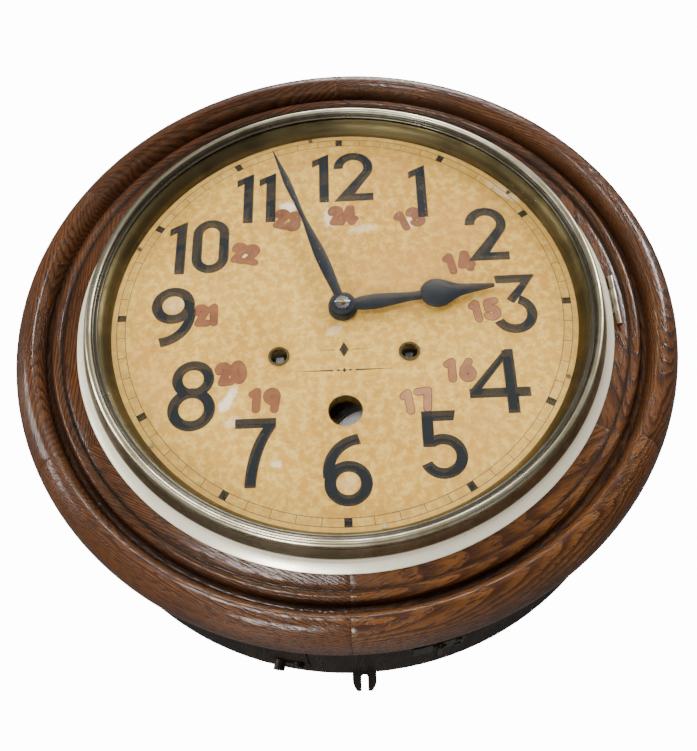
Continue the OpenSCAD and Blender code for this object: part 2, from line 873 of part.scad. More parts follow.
module hour_hand()
    color([0.2, 0.22, 0.28])
        difference() {
            union() {
                slab(hour_hand_d[0], hour_hand_d[1])
                    rotate(90 - hour_at) {
                        polygon(mirrored([[6, 3.4], [11, 4.5], [17, 4.85], [26, 4.1], [34, 3.1], [41, 2.6],
                                          [46, 2.6]]));
                        translate([52, 0])
                            circle(9.3);
                        polygon(mirrored([[52, 9.3], [56, 8.7], [60, 6.2], [64, 4.2], [69, 3.2], [76, 2.4],
                                          [hour_len, 1.2]]));
                    }
                bar(7.9, hour_hand_d[0] - 0.3, -0.8);
            }
            bar(pipe_r + fit, -10, 2);
            block([-0.5, 0.5], [-10, 2], [-9, 0]);
        }

click_stud_r = 21;        // from the winding arbor to the click's stud
click_stud_rod = 1.2;
time_ratchet_d = [40.4, 42.2];
strike_ratchet_d = [38.4, 40.2];
strike_great_d = [41, 43];
time_click_aim = -60;
strike_click_aim = 240;

// A ratchet with undercut teeth for a click to hold
module ratchet(at, d, n = 24, r = 13)
    slab(d[0], d[1])
        translate(at)
            polygon([for (i = [0:n - 1]) for (p = [[0, r], [360 / n - 1.5, r - 2.2]])
                polar([0, 0], p[1], 360 * i / n + p[0])]);

// Winding arbor: square end for the key, ratchet, and the peg that holds the spring's eye
module winding_arbor(at, ratchet_d) {
    bar(key_arbor_r, key_square_d[1], inside_d[1], at);
    bar(key_pivot_r, back_plate_d - 1, back_plate_d + plate_t, at);
    slab(key_square_d[0], key_square_d[1] + eps)
        translate(at)
            square(key_square, center = true);
    ratchet(at, ratchet_d);
    translate([at[0], dial_y + (spring_d[0] + spring_d[1]) / 2, at[1]])
        cylinder(r = 0.8, h = key_arbor_r + 1.5);
}

// Click: a pivoted pawl that rests just clear of the ratchet's teeth
module click(at, d, aim) {
    pivot = [click_stud_r, 0];
    translate([at[0], 0, at[1]])
        rotate([0, -aim, 0])
            difference() {
                union() {
                    bar(3, d[0], d[1], pivot);
                    slab(d[0], d[1])
                        translate(pivot)
                            polygon([[-1, 2.4], [-7.6, 1], [-7.4, -1], [-1, -2.4]]);
                    slab(d[0], d[1])
                        translate(pivot)
                            polygon([[1, 2.3], [9, 2.2], [9, 1.2], [1.6, -1]]);
                }
                bar(click_stud_rod + run, d[0] - 1, d[1] + 1, pivot);
            }
}
module great_wheel(at, n, m, d, aim, click_aim, stud_d) {
    wheel(at, n, m, d, key_arbor_r + run, aim, arms = 6, hub = 26, rim = 4.5);
    bar(click_stud_rod, stud_d[0], stud_d[1], polar(at, click_stud_r, click_aim));
}
module time_great_wheel()
    color("goldenrod")
        great_wheel(time_key, time_great_teeth, module_great, time_great_d, heading(time_key, centre),
                    time_click_aim, [time_great_d[1] - eps, time_ratchet_d[1] + 0.5]);
module time_winding_arbor() color("slategray") winding_arbor(time_key, time_ratchet_d);
module time_click() color("slategray") click(time_key, time_ratchet_d, time_click_aim);
module third_wheel()
    color("goldenrod")
        wheel_on_arbor(third, train_teeth, module_fine, third_wheel_d, heading(third, escape),
                       module_mid, third_pinion_d, heading(third, centre));
module escape_wheel()
    color("goldenrod") {
        arbor(escape);
        pinion(escape, leaves, module_fine, escape_pinion_d, arbor_r - eps, heading(escape, third));
        bar(hub_r, escape_wheel_d[0], escape_wheel_d[1] + 1.5, escape);
        slab(escape_wheel_d[0], escape_wheel_d[1])
            translate(escape)
                difference() {
                    polygon([for (i = [0:escape_teeth - 1]) for (p = [[-2.5, 3], [0, 0], [1, 0], [2.2, 3]])
                        polar([0, 0], escape_r - p[1], 360 * i / escape_teeth + p[0])]);
                    for (i = [0:3])
                        rotate(90 * i)
                            polygon(window(4.5, escape_r - 5.2, 66));
                }
    }

// Anchor, its arbor and the crutch that the pendulum rod hangs in.
// The pallets stay clear of the teeth through the whole swing.
module verge()
    color("slategray") {
        bar(arbor_r, 27, inside_d[1], verge_at);
        bar(pivot_r, inside_d[1] - 1, back_plate_d + plate_t, verge_at);
        translate([verge_at[0], 0, verge_at[1]]) {
            slab(escape_wheel_d[0] - 0.5, escape_wheel_d[1] + 0.5) {
                circle(4);
                for (s = [-1, 1])
                    polygon([[0, s * 3], [s * 4, 2.5], [s * 15.5, -5], [s * 17.2, -11.6], [s * 14.2, -9.6],
                             [s * 12.6, -6.4], [0, -3]]);
            }
            slab(27, 28.2) {
                circle(3.4);
                span([-1.5, 1.5], [-33.5, 0]);
                span([-2.9, 2.9], [-33.5, -30.5]);
            }
            for (s = [-1, 1])
                translate([s * 2.15, 0, 0])
                    block([-0.75, 0.75], [rod_d - 2, 28], [-33.5, -30.5]);
        }
    }
module suspension_spring()
    color("silver")
        translate([verge_at[0], 0, verge_at[1]])
            block([-0.15, 0.15], [rod_d - 2, rod_d + 2], [-13, 3]);
module pendulum_rod()
    color("goldenrod")
        translate([verge_at[0], 0, verge_at[1]]) {
            difference() {
                union() {
                    block([-1, 1], [rod_d - 2.2, rod_d + 2.2], [-15, -10]);
                    translate([0, dial_y + rod_d, -pendulum_len - bob_r - 6])
                        cylinder(r = 1, h = pendulum_len + bob_r - 8);
                }
                block([-0.17, 0.17], [rod_d - 3, rod_d + 3], [-13, -9]);
            }
        }
module pendulum_bob()
    color("silver")
        translate([verge_at[0], dial_y + rod_d, verge_at[1] - pendulum_len])
            difference() {
                rotate([90, 0, 0])
                    rotate_extrude()
                        intersection() {
                            translate([0, -bob_t / 2])
                                square([bob_r, bob_t]);
                            translate([0, bob_dome_r - bob_t / 2])
                                circle(bob_dome_r, $fn = 720);
                            translate([0, bob_t / 2 - bob_dome_r])
                                circle(bob_dome_r, $fn = 720);
                        }
                translate([0, 0, -bob_r - 1])
                    cylinder(r = 1.05, h = 2 * bob_r + 2);
            }
module rating_nut()
    color("goldenrod")
        translate([verge_at[0], dial_y + rod_d, verge_at[1] - pendulum_len - bob_r - 3.4])
            tube(3.5, 1.02, 3);

// ---- Striking train ----

module strike_great_wheel()
    color("goldenrod")
        great_wheel(strike_key, strike_great_teeth, module_strike, strike_great_d,
                    heading(strike_key, pin_arbor), strike_click_aim,
                    [strike_ratchet_d[0] - 0.5, strike_great_d[0] + eps]);
module strike_winding_arbor() color("slategray") winding_arbor(strike_key, strike_ratchet_d);
module strike_click() color("slategray") click(strike_key, strike_ratchet_d, strike_click_aim);

pin_circle_r = 18.4;
pin_wheel_d = [69.5, 71];
pin_pinion_d = [40, 44];
lock_wheel_d = [54, 55.2];
lock_pinion_d = [68.6, 71.8];
warn_wheel_d = [48.5, 49.7];
warn_pinion_d = [53, 56.2];
fly_pinion_d = [47.4, 50.8];
fly_vane_d = [61.5, 72];
fly_vane_x = 12;
count_wheel_r = [22, 30];

// Count wheel: the slots round its rim lie one, two, three ... twelve blows apart
function blows_before(hour) = hour * (hour + 1) / 2;
module count_wheel()
    color("goldenrod")
        slab(strike_great_d[1], strike_great_d[1] + 1)
            translate(strike_key)
                difference() {
                    circle(count_wheel_r[1]);
                    circle(count_wheel_r[0]);
                    for (hour = [0:11])
                        rotate(360 * (blows_before(hour) + hour) / (blows_before(12) + 12))
                            translate([count_wheel_r[1] - 3, -0.9])
                                square([4, 1.8]);
                }
module pin_wheel()
    color("goldenrod") {
        wheel_on_arbor(pin_arbor, pin_wheel_teeth, module_pin, pin_wheel_d, heading(pin_arbor, lock_arbor),
                       module_strike, pin_pinion_d, heading(pin_arbor, strike_key), strike_pinion, 5.5);
        for (i = [0:11])
            bar(pivot_r, pin_wheel_d[0] - 2.1, pin_wheel_d[0] + eps, polar(pin_arbor, pin_circle_r, 30 * i));
    }
module locking_wheel()
    color("goldenrod")
        wheel_on_arbor(lock_arbor, pin_wheel_teeth, module_fine, lock_wheel_d,
                       heading(lock_arbor, warn_arbor), module_pin, lock_pinion_d,
                       heading(lock_arbor, pin_arbor));
module warning_wheel()
    color("goldenrod")
        wheel_on_arbor(warn_arbor, warning_teeth, module_fine, warn_wheel_d,
                       heading(warn_arbor, fly_arbor), module_fine, warn_pinion_d,
                       heading(warn_arbor, lock_arbor));
module fly()
    color("silver") {
        arbor(fly_arbor);
        pinion(fly_arbor, leaves, module_fine, fly_pinion_d, arbor_r - eps, heading(fly_arbor, warn_arbor));
        translate([fly_arbor[0], 0, fly_arbor[1]])
            block([-fly_vane_x, fly_vane_x], fly_vane_d, [-0.3, 0.3]);
        bar(2, fly_vane_d[0], fly_vane_d[1], fly_arbor);
    }
module hammer()
    color("slategray") {
        arbor(hammer_arbor);
        bar(2.2, 66.5, 73.4, hammer_arbor);
        wire(hammer_arbor, hammer_head + [0, 2], hammer_d, 0.9);
        wire(hammer_arbor, polar(hammer_arbor, 7.2, heading(hammer_arbor, pin_arbor)), 68, 0.8);
        translate([hammer_head[0] - 6, dial_y + gong_d, hammer_head[1]])
            rotate([0, 90, 0])
                cylinder(r = 6.4, h = 12);
    }
module gong_base()
    color("dimgray") {
        bar(8.4, gong_d - 4, board_d, gong_at);
        difference() {
            slab(board_d - 3, board_d)
                translate(gong_at)
                    square([34, 14], center = true);
            for (s = [-1, 1])
                bar(screw_r + fit, board_d - 5, board_d + 1, gong_at + [s * gong_screw_x, 0]);
        }
    }
module gong_coil()
    color("slategray")
        translate([gong_at[0], 0, gong_at[1]])
            for (i = [0:gong_halves - 1])
                half_turn(i, gong_r, 2 * gong_step)
                    translate([0, -gong_d])
                        circle(gong_wire_r, $fn = 24);

ring_segments();
case_drum();
backboard();
backboard_screws();
hanger_plate();
steady_fork();
plate_screws();
movement_rails();
dial_plate();
dial_paper();
dial_nails();
keyhole_eyelets();
bezel_ring();
sight_ring();
bezel_glass();
bezel_hinge_strap();
bezel_hinge_leaf();
hinge_pins();
bezel_catch_spring();
bottom_door();
door_hinge_strap();
door_hinge_leaf();
hinge_screws();
door_catch();
front_plate();
back_plate();
pillars();
pillar_nuts();
suspension_stud();
mainsprings();
centre_wheel();
cannon_pinion();
minute_hand();
hand_washer();
taper_pin();
minute_wheel();
hour_wheel();
hour_hand();
time_great_wheel();
time_winding_arbor();
time_click();
third_wheel();
escape_wheel();
verge();
suspension_spring();
pendulum_rod();
pendulum_bob();
rating_nut();
strike_great_wheel();
count_wheel();
strike_winding_arbor();
strike_click();
pin_wheel();
locking_wheel();
warning_wheel();
fly();
hammer();
gong_base();
gong_coil();
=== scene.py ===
"""Looks of a round schoolhouse wall clock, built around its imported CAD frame.

Metres, with the front facing -Y and +Z up. Helpers take millimetres as (x, z, depth), where depth is the
distance behind the dial's face, and clock angles in degrees clockwise from twelve.
"""

import json
import math

import bmesh
import bpy
from mathutils import Matrix, Vector, noise
from mathutils.geometry import delaunay_2d_cdt


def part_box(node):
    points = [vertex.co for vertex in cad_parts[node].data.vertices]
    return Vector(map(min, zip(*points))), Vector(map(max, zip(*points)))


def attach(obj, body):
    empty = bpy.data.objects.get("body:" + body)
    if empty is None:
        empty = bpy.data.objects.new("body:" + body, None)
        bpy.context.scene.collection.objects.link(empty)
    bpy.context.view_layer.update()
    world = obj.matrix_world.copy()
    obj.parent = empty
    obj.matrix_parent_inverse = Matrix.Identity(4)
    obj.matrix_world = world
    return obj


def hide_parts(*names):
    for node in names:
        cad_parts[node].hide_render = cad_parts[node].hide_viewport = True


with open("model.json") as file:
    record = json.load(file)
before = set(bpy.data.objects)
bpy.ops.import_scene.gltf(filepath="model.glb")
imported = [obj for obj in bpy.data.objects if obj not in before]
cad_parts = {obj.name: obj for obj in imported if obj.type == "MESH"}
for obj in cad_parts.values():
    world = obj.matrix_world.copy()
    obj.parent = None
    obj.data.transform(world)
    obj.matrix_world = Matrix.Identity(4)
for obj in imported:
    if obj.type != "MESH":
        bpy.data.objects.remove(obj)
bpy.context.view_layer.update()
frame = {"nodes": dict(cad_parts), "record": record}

MM = 0.001
DIAL_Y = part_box("dial_paper")[0].y


def outer_radius(node):
    """How far a CAD node reaches from the clock's axis, in millimetres."""
    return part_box(node)[1].x / MM


def front_of(node):
    """Depth of a CAD node's front, in millimetres."""
    return (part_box(node)[0].y - DIAL_Y) / MM


def back_of(node):
    """Depth of a CAD node's back, in millimetres."""
    return (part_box(node)[1].y - DIAL_Y) / MM


RING_R = outer_radius("ring_segments")
DRUM_R = outer_radius("case_drum")
RING_BACK = back_of("ring_segments")
RING_BORE = 112.0
LAND_DEPTH = 3.0
SEGMENTS = 6


# ---- Places and outlines ----

def place(x, z, depth):
    """A point in the shared frame, from millimetres."""
    return Vector((x * MM, DIAL_Y + depth * MM, z * MM))


def polar(radius, clock):
    """[x, z] in millimetres at a clock angle."""
    angle = math.radians(clock)
    return radius * math.sin(angle), radius * math.cos(angle)


def arc(centre, rx, ry, start, end, steps):
    """Points along an ellipse, with plain mathematical angles in degrees."""
    points = []
    for i in range(steps + 1):
        angle = math.radians(start + (end - start) * i / steps)
        points.append((centre[0] + rx * math.cos(angle), centre[1] + ry * math.sin(angle)))
    return points


def curve(start, control, end, steps=10):
    """Points along a quadratic curve."""
    points = []
    for i in range(steps + 1):
        t = i / steps
        a, b, c = (1 - t) ** 2, 2 * t * (1 - t), t * t
        points.append(tuple(a * s + b * m + c * e for s, m, e in zip(start, control, end)))
    return points


def smooth_outline(points, steps=6):
    """A rounder version of an open row of points, through the same points."""
    rounded = []
    last = len(points) - 1
    for i in range(last):
        before, a = points[max(i - 1, 0)], points[i]
        b, after = points[i + 1], points[min(i + 2, last)]
        for k in range(steps):
            t = k / steps
            rounded.append(tuple(
                0.5 * (2 * q + (r - p) * t + (2 * p - 5 * q + 4 * r - s) * t * t
                       + (3 * q - p - 3 * r + s) * t ** 3)
                for p, q, r, s in zip(before, a, b, after)))
    rounded.append(points[-1])
    return rounded


# ---- Meshes ----

def new_piece(name, mesh, material, body, smooth=True):
    """Links a mesh as a piece that rides on a body."""
    mesh.materials.append(material)
    for face in mesh.polygons:
        face.use_smooth = smooth
    piece = bpy.data.objects.new(name, mesh)
    bpy.context.scene.collection.objects.link(piece)
    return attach(piece, body)


def from_lists(name, verts, faces):
    """A mesh from its corners and faces, normals outward."""
    mesh = bpy.data.meshes.new(name)
    mesh.from_pydata(verts, [], faces)
    shape = bmesh.new()
    shape.from_mesh(mesh)
    bmesh.ops.recalc_face_normals(shape, faces=shape.faces)
    shape.to_mesh(mesh)
    shape.free()
    return mesh


def tube(name, rows):
    """A closed skin over equal-length loops of points, with a flat cap at each end."""
    verts = [point for row in rows for point in row]
    faces = []
    count = len(rows[0])
    for i in range(len(rows) - 1):
        for k in range(count):
            a, b = i * count + k, i * count + (k + 1) % count
            faces.append((a, b, b + count, a + count))
    faces.append(tuple(range(count)))
    faces.append(tuple(range(len(verts) - count, len(verts))))
    return from_lists(name, verts, faces)


def lathe(name, profile, segments, ripple=0.0, ripple_size=20.0):
    """A closed [radius, depth] profile turned about the clock's axis, with a slight ripple in it."""
    verts = []
    faces = []
    count = len(profile)
    for i in range(segments):
        for radius, depth in profile:
            x, z = polar(radius, 360 * i / segments)
            sway = ripple * noise.noise(Vector((x, z, depth)) / ripple_size)
            verts.append(place(*polar(radius + sway, 360 * i / segments), depth + sway))
    for i in range(segments):
        for k in range(count):
            a, b = i * count + k, i * count + (k + 1) % count
            c, d = (i + 1) % segments * count + k, (i + 1) % segments * count + (k + 1) % count
            faces.append((a, b, d, c))
    return from_lists(name, verts, faces)


def counter_clockwise(outline):
    """The outline, turned round if it runs clockwise."""
    twice_area = sum(x0 * z1 - x1 * z0 for (x0, z0), (x1, z1) in zip(outline, outline[1:] + outline[:1]))
    return outline if twice_area > 0 else outline[::-1]


def raised(name, shapes, front, back):
    """The union of flat [x, z] outlines as one thin plate between two depths, in millimetres."""
    corners = []
    outlines = []
    for outline in shapes:
        outlines.append(list(range(len(corners), len(corners) + len(outline))))
        corners.extend(Vector(p) for p in counter_clockwise(outline))
    points, _, triangles, _, _, owners = delaunay_2d_cdt(corners, [], outlines, 1, 1e-5)
    triangles = [t for t, owner in zip(triangles, owners) if owner]
    verts = [place(p.x, p.y, front) for p in points]
    verts += [place(p.x, p.y, back) for p in points]
    faces = [tuple(t) for t in triangles]
    edges = {}
    for t in triangles:
        for k in range(len(t)):
            edge = t[k], t[(k + 1) % len(t)]
            if edge[::-1] in edges:
                del edges[edge[::-1]]
            else:
                edges[edge] = True
    offset = len(points)
    faces += [tuple(i + offset for i in reversed(t)) for t in triangles]
    faces += [(b, a, a + offset, b + offset) for a, b in edges]
    return from_lists(name, verts, faces)


def turned_shapes(shapes, angle, origin):
    """Outlines turned counter-clockwise and moved to an origin."""
    c, s = math.cos(math.radians(angle)), math.sin(math.radians(angle))
    return [[(origin[0] + c * x - s * z, origin[1] + s * x + c * z) for x, z in o] for o in shapes]


# ---- Shader building ----

class Shader:
    """A node material built step by step; the methods that add to it return output sockets."""

    def __init__(self, name):
        self.material = bpy.data.materials.new(name)
        self.material.use_nodes = True
        self.tree = self.material.node_tree
        self.tree.nodes.clear()
        self.coords = self.add("ShaderNodeTexCoord").outputs["Object"]

    def add(self, kind, **inputs):
        node = self.tree.nodes.new(kind)
        for key, value in inputs.items():
            self.feed(node.inputs[key.replace("_", " ")], value)
        return node

    def feed(self, socket, value):
        if isinstance(value, bpy.types.NodeSocket):
            self.tree.links.new(value, socket)
        elif hasattr(socket.default_value, "__len__") and len(socket.default_value) == 4:
            socket.default_value = (*value, 1.0)
        else:
            socket.default_value = value

    def math(self, operation, a, b=0.0, clamp=False):
        node = self.tree.nodes.new("ShaderNodeMath")
        node.operation = operation
        node.use_clamp = clamp
        self.feed(node.inputs[0], a)
        self.feed(node.inputs[1], b)
        return node.outputs[0]

    def range(self, value, low, high, to_low=0.0, to_high=1.0):
        node = self.tree.nodes.new("ShaderNodeMapRange")
        node.interpolation_type = "SMOOTHSTEP"
        for index, number in enumerate((value, low, high, to_low, to_high)):
            self.feed(node.inputs[index], number)
        return node.outputs[0]

    def mix(self, factor, a, b):
        node = self.tree.nodes.new("ShaderNodeMix")
        node.data_type = "RGBA"
        self.feed(node.inputs[0], factor)
        self.feed(node.inputs[6], a)
        self.feed(node.inputs[7], b)
        return node.outputs[2]

    def mapped(self, scale=(1, 1, 1), offset=(0, 0, 0), turn=(0, 0, 0), source=None):
        node = self.add("ShaderNodeMapping", Vector=source or self.coords)
        node.inputs["Location"].default_value = offset
        node.inputs["Rotation"].default_value = [math.radians(t) for t in turn]
        node.inputs["Scale"].default_value = scale
        return node.outputs[0]

    def noise(self, vector, scale, detail=3.0, roughness=0.5):
        node = self.add("ShaderNodeTexNoise", Vector=vector, Scale=scale, Detail=detail, Roughness=roughness)
        return node.outputs["Fac"]

    def parts(self, vector=None):
        node = self.add("ShaderNodeSeparateXYZ", Vector=vector or self.coords)
        return node.outputs

    def joined(self, x, y, z):
        node = self.tree.nodes.new("ShaderNodeCombineXYZ")
        for socket, value in zip(node.inputs, (x, y, z)):
            self.feed(socket, value)
        return node.outputs[0]

    def length(self, a, b):
        return self.math("SQRT", self.math("ADD", self.math("MULTIPLY", a, a), self.math("MULTIPLY", b, b)))

    def radius_mm(self):
        """Distance from the clock's axis, in millimetres."""
        x, _, z = self.parts()[:3]
        return self.math("DIVIDE", self.length(x, z), MM)

    def turned_coords(self):
        """Coordinates that run with the turning: radius, depth, and distance round the clock's axis."""
        x, y, z = self.parts()[:3]
        radius = self.length(x, z)
        angle = self.math("ARCTAN2", x, z)
        return self.joined(radius, y, self.math("MULTIPLY", angle, radius))

    def finish(self, colour, roughness, metallic=0.0, height=None, relief=0.0001, coat=0.0,
               coat_roughness=0.1, specular=0.5):
        shader = self.add("ShaderNodeBsdfPrincipled", Base_Color=colour, Roughness=roughness,
                          Metallic=metallic)
        shader.inputs["Coat Weight"].default_value = coat
        shader.inputs["Coat Roughness"].default_value = coat_roughness
        shader.inputs["Specular IOR Level"].default_value = specular
        if height is not None:
            bump = self.add("ShaderNodeBump", Height=height, Distance=relief)
            self.feed(shader.inputs["Normal"], bump.outputs[0])
            self.feed(shader.inputs["Coat Normal"], bump.outputs[0])
        output = self.tree.nodes.new("ShaderNodeOutputMaterial")
        self.tree.links.new(shader.outputs[0], output.inputs["Surface"])
        return self.material


def shade(value):
    """A grey level as a colour."""
    return (value, value, value)


# ---- Materials ----

def wood(name, light, dark, pores, clock=0.0, seed=(0.0, 0.0, 0.0), tilt=(0, 0, 0), ring_mm=2.4,
         pith=(0.05, 0.09), coat=0.45, coat_roughness=0.13, roughness=0.5, painted_shade=None):
    """Open-grained wood whose growth rings are cylinders round a pith line.

    The pith runs along X for a board at twelve, and is turned with the board to its clock angle.
    """
    s = Shader(name)
    board = s.mapped(turn=(0, -clock, 0))
    grain = s.mapped(offset=seed, turn=tilt, source=board)
    stretched = s.mapped(scale=(0.16, 1, 1), source=grain)
    warp = s.noise(stretched, 26.0, 3.0, 0.5)
    _, y, z = s.parts(grain)[:3]
    away = s.length(s.math("SUBTRACT", y, pith[0]), s.math("SUBTRACT", z, pith[1]))
    wander = s.math("MULTIPLY", s.math("SUBTRACT", warp, 0.5), 0.020)
    rings = s.math("DIVIDE", s.math("ADD", away, wander), ring_mm * MM)
    phase = s.math("FRACT", rings)
    late = s.math("MULTIPLY", s.range(phase, 0.25, 0.92), s.range(phase, 0.93, 1.0, 1.0, 0.0))
    early = s.range(phase, 0.05, 0.45, 1.0, 0.0)
    fibre = s.noise(s.mapped(scale=(0.05, 1, 1), source=grain), 1300.0, 4.0, 0.7)
    vessel = s.noise(s.mapped(scale=(0.09, 1, 1), source=grain), 1500.0, 2.0, 0.6)
    open_ring = s.math("ADD", 0.45, s.math("MULTIPLY", early, 0.55))
    hole = s.math("MULTIPLY", s.range(vessel, 0.50, 0.60), open_ring)
    cloud = s.noise(grain, 22.0, 4.0, 0.6)
    tone = s.math("ADD", s.math("MULTIPLY", late, 0.38), s.math("MULTIPLY", fibre, 0.62))
    colour = s.mix(s.range(tone, 0.2, 0.72), light, dark)
    colour = s.mix(s.range(cloud, 0.36, 0.70, 0.0, 0.55), colour, dark)
    colour = s.mix(s.math("MULTIPLY", hole, 0.85), colour, pores)
    # painted shade: a mask that darkens the wood nearly to black where shade falls
    if painted_shade is not None:
        colour = s.mix(painted_shade(s), colour, shade(0.012))
    height = s.math("SUBTRACT", s.math("MULTIPLY", fibre, 0.25), s.math("MULTIPLY", hole, 0.9))
    height = s.math("ADD", height, s.math("MULTIPLY", late, 0.25))
    rough = s.math("ADD", roughness, s.math("MULTIPLY", hole, 0.25))
    rough = s.math("ADD", rough, s.math("MULTIPLY", s.math("SUBTRACT", cloud, 0.5), 0.25))
    return s.finish(colour, rough, height=height, relief=0.00014, coat=coat, coat_roughness=coat_roughness,
                    specular=0.08)


# Radii where painted shade begins, is full, begins to fade and ends, and how dark it is
HOLLOW_SHADE = (159.0, 161.5, 162.0, 166.5, 0.48)
QUIRK_SHADE = (152.8, 154.2, 154.6, 155.6, 0.7)


def ring_grime(s):
    """Painted shade: darkens the hollows of the moulded ring and its outer edge, in patches."""
    radius = s.radius_mm()
    patchy = s.noise(s.coords, 90.0, 3.0, 0.6)
    # painted shade towards the roll's outer edge, and below, in the hollow and at the quirk
    dark = s.range(radius, RING_R - 3.0, RING_R, 0.0, 0.35)
    for begins, full, fades, ends, strength in (HOLLOW_SHADE, QUIRK_SHADE):
        groove = s.math("MULTIPLY", s.range(radius, begins, full), s.range(radius, fades, ends, 1.0, 0.0))
        dark = s.math("MAXIMUM", dark, s.math("MULTIPLY", groove, strength))
    return s.math("MULTIPLY", dark, s.range(patchy, 0.2, 0.75, 0.55, 1.0), clamp=True)


# painted reflection: the cream colour given to the bezel's flange
FLANGE_REFLECTION_CREAM = (0.96, 0.91, 0.70)
LIP_SHADE_R = 134.5     # inside this radius the bezel's lip is darkened with painted shade
REFLECTION_FROM_R = 140.8     # beyond this radius the bezel carries a painted pale reflection


def brass(name, colour, tarnish, bright, roughness, turned=True, flanged=False):
    """Aged brass: brushed, clouded with tarnish and rubbed bright in places.

    Turned brass is brushed round the clock's axis. Flanged brass has painted shade darkening its lip
    inside, and a painted reflection, a cream colour, on its satin flange outside.
    """
    s = Shader(name)
    grain = s.turned_coords() if turned else s.coords
    brushed = s.noise(s.mapped(scale=(1, 1, 0.03), source=grain), 2600.0, 2.0, 0.6)
    cloud = s.noise(s.coords, 34.0, 4.0, 0.62)
    speck = s.noise(s.coords, 420.0, 3.0, 0.6)
    spots = s.range(speck, 0.63, 0.74)
    tint = s.mix(s.range(cloud, 0.36, 0.66), colour, tarnish)
    tint = s.mix(s.range(brushed, 0.45, 0.85, 0.0, 0.3), tint, bright)
    tint = s.mix(s.math("MULTIPLY", spots, 0.55), tint, tarnish)
    rough = s.math("ADD", roughness, s.math("MULTIPLY", s.math("SUBTRACT", cloud, 0.5), 0.4))
    rough = s.math("ADD", rough, s.math("MULTIPLY", spots, 0.2))
    height = s.math("ADD", s.math("MULTIPLY", brushed, 0.3), s.math("MULTIPLY", speck, 0.5))
    shine = 1.0
    if flanged:
        radius = s.radius_mm()
        # painted shade: the bezel's lip, inside the lip radius, is darkened nearly to black
        lip = s.range(radius, LIP_SHADE_R, LIP_SHADE_R + 0.8, 0.75, 0.0)
        tint = s.mix(lip, tint, shade(0.02))
        # painted reflection: beyond the flange radius the brass is turned cream and made less metallic
        pale = s.range(radius, REFLECTION_FROM_R, REFLECTION_FROM_R + 0.6)
        worn = s.math("MULTIPLY", s.range(cloud, 0.5, 0.72, 0.0, 0.5), pale)
        tint = s.mix(pale, tint, FLANGE_REFLECTION_CREAM)
        tint = s.mix(worn, tint, bright)
        shine = s.math("SUBTRACT", 1.0, s.math("MULTIPLY", pale, 0.55))
    return s.finish(tint, rough, metallic=shine, height=height, relief=0.00003)


def metal(name, colour, dark, roughness=0.35, scale=60.0, relief=0.00003, metallic=1.0):
    """Plain worn metal with soft stains, fine scratches and pitting."""
    s = Shader(name)
    cloud = s.noise(s.coords, scale, 4.0, 0.6)
    scratch = s.noise(s.mapped(scale=(1, 1, 0.06)), 1800.0, 2.0, 0.6)
    pit = s.noise(s.coords, 900.0, 2.0, 0.6)
    tint = s.mix(s.range(cloud, 0.4, 0.7), colour, dark)
    tint = s.mix(s.range(pit, 0.62, 0.72, 0.0, 0.6), tint, dark)
    rough = s.math("ADD", roughness, s.math("MULTIPLY", s.math("SUBTRACT", scratch, 0.5), 0.35))
    height = s.math("ADD", s.math("MULTIPLY", scratch, 0.4), s.math("MULTIPLY", pit, 0.6))
    return s.finish(tint, rough, metallic=metallic, height=height, relief=relief)


def patch(s, x, z, wide, high, turn):
    """A ragged oval on the dial, 1 in the middle and 0 outside; sizes in millimetres."""
    flat = s.mapped(offset=(-x * MM, 0, -z * MM))
    spun = s.parts(s.mapped(turn=(0, turn, 0), source=flat))
    across = s.length(s.math("DIVIDE", spun[0], wide * MM), s.math("DIVIDE", spun[2], high * MM))
    ragged = s.math("MULTIPLY", s.math("SUBTRACT", s.noise(s.coords, 260.0, 3.0, 0.6), 0.5), 1.3)
    return s.range(s.math("ADD", across, ragged), 0.55, 1.15, 1.0, 0.0)


# Worn places on the dial: x, z, half width, half height, turn, and how strongly they show
PALE_SCUFFS = ((-31, 73, 6, 5, 20, 0.75), (-61, -53, 3.4, 8, -28, 0.7), (-6, 64, 4.5, 8, 5, 0.45),
               (-35, -90, 3, 2.4, 0, 0.45), (-5, -13, 6, 3, 30, 0.3), (41, 59, 4, 4, 0, 0.45),
               (-56, 41, 4, 3.5, 0, 0.35), (-94, 8, 6, 6, 0, 0.14), (0, -101, 6, 5, 0, 0.12),
               (12, 55, 9, 3, 10, 0.3), (96, 78, 13, 3, -42, 0.4), (-58, -66, 6, 3, 12, 0.3))
BROWN_STAINS = ((38, 22, 40, 22, 12, 0.35), (70, 58, 26, 20, 30, 0.3), (-20, 108, 30, 8, 8, 0.28),
                (30, 100, 22, 14, -10, 0.3), (60, -80, 30, 16, 35, 0.22), (-100, -40, 14, 34, 12, 0.22))


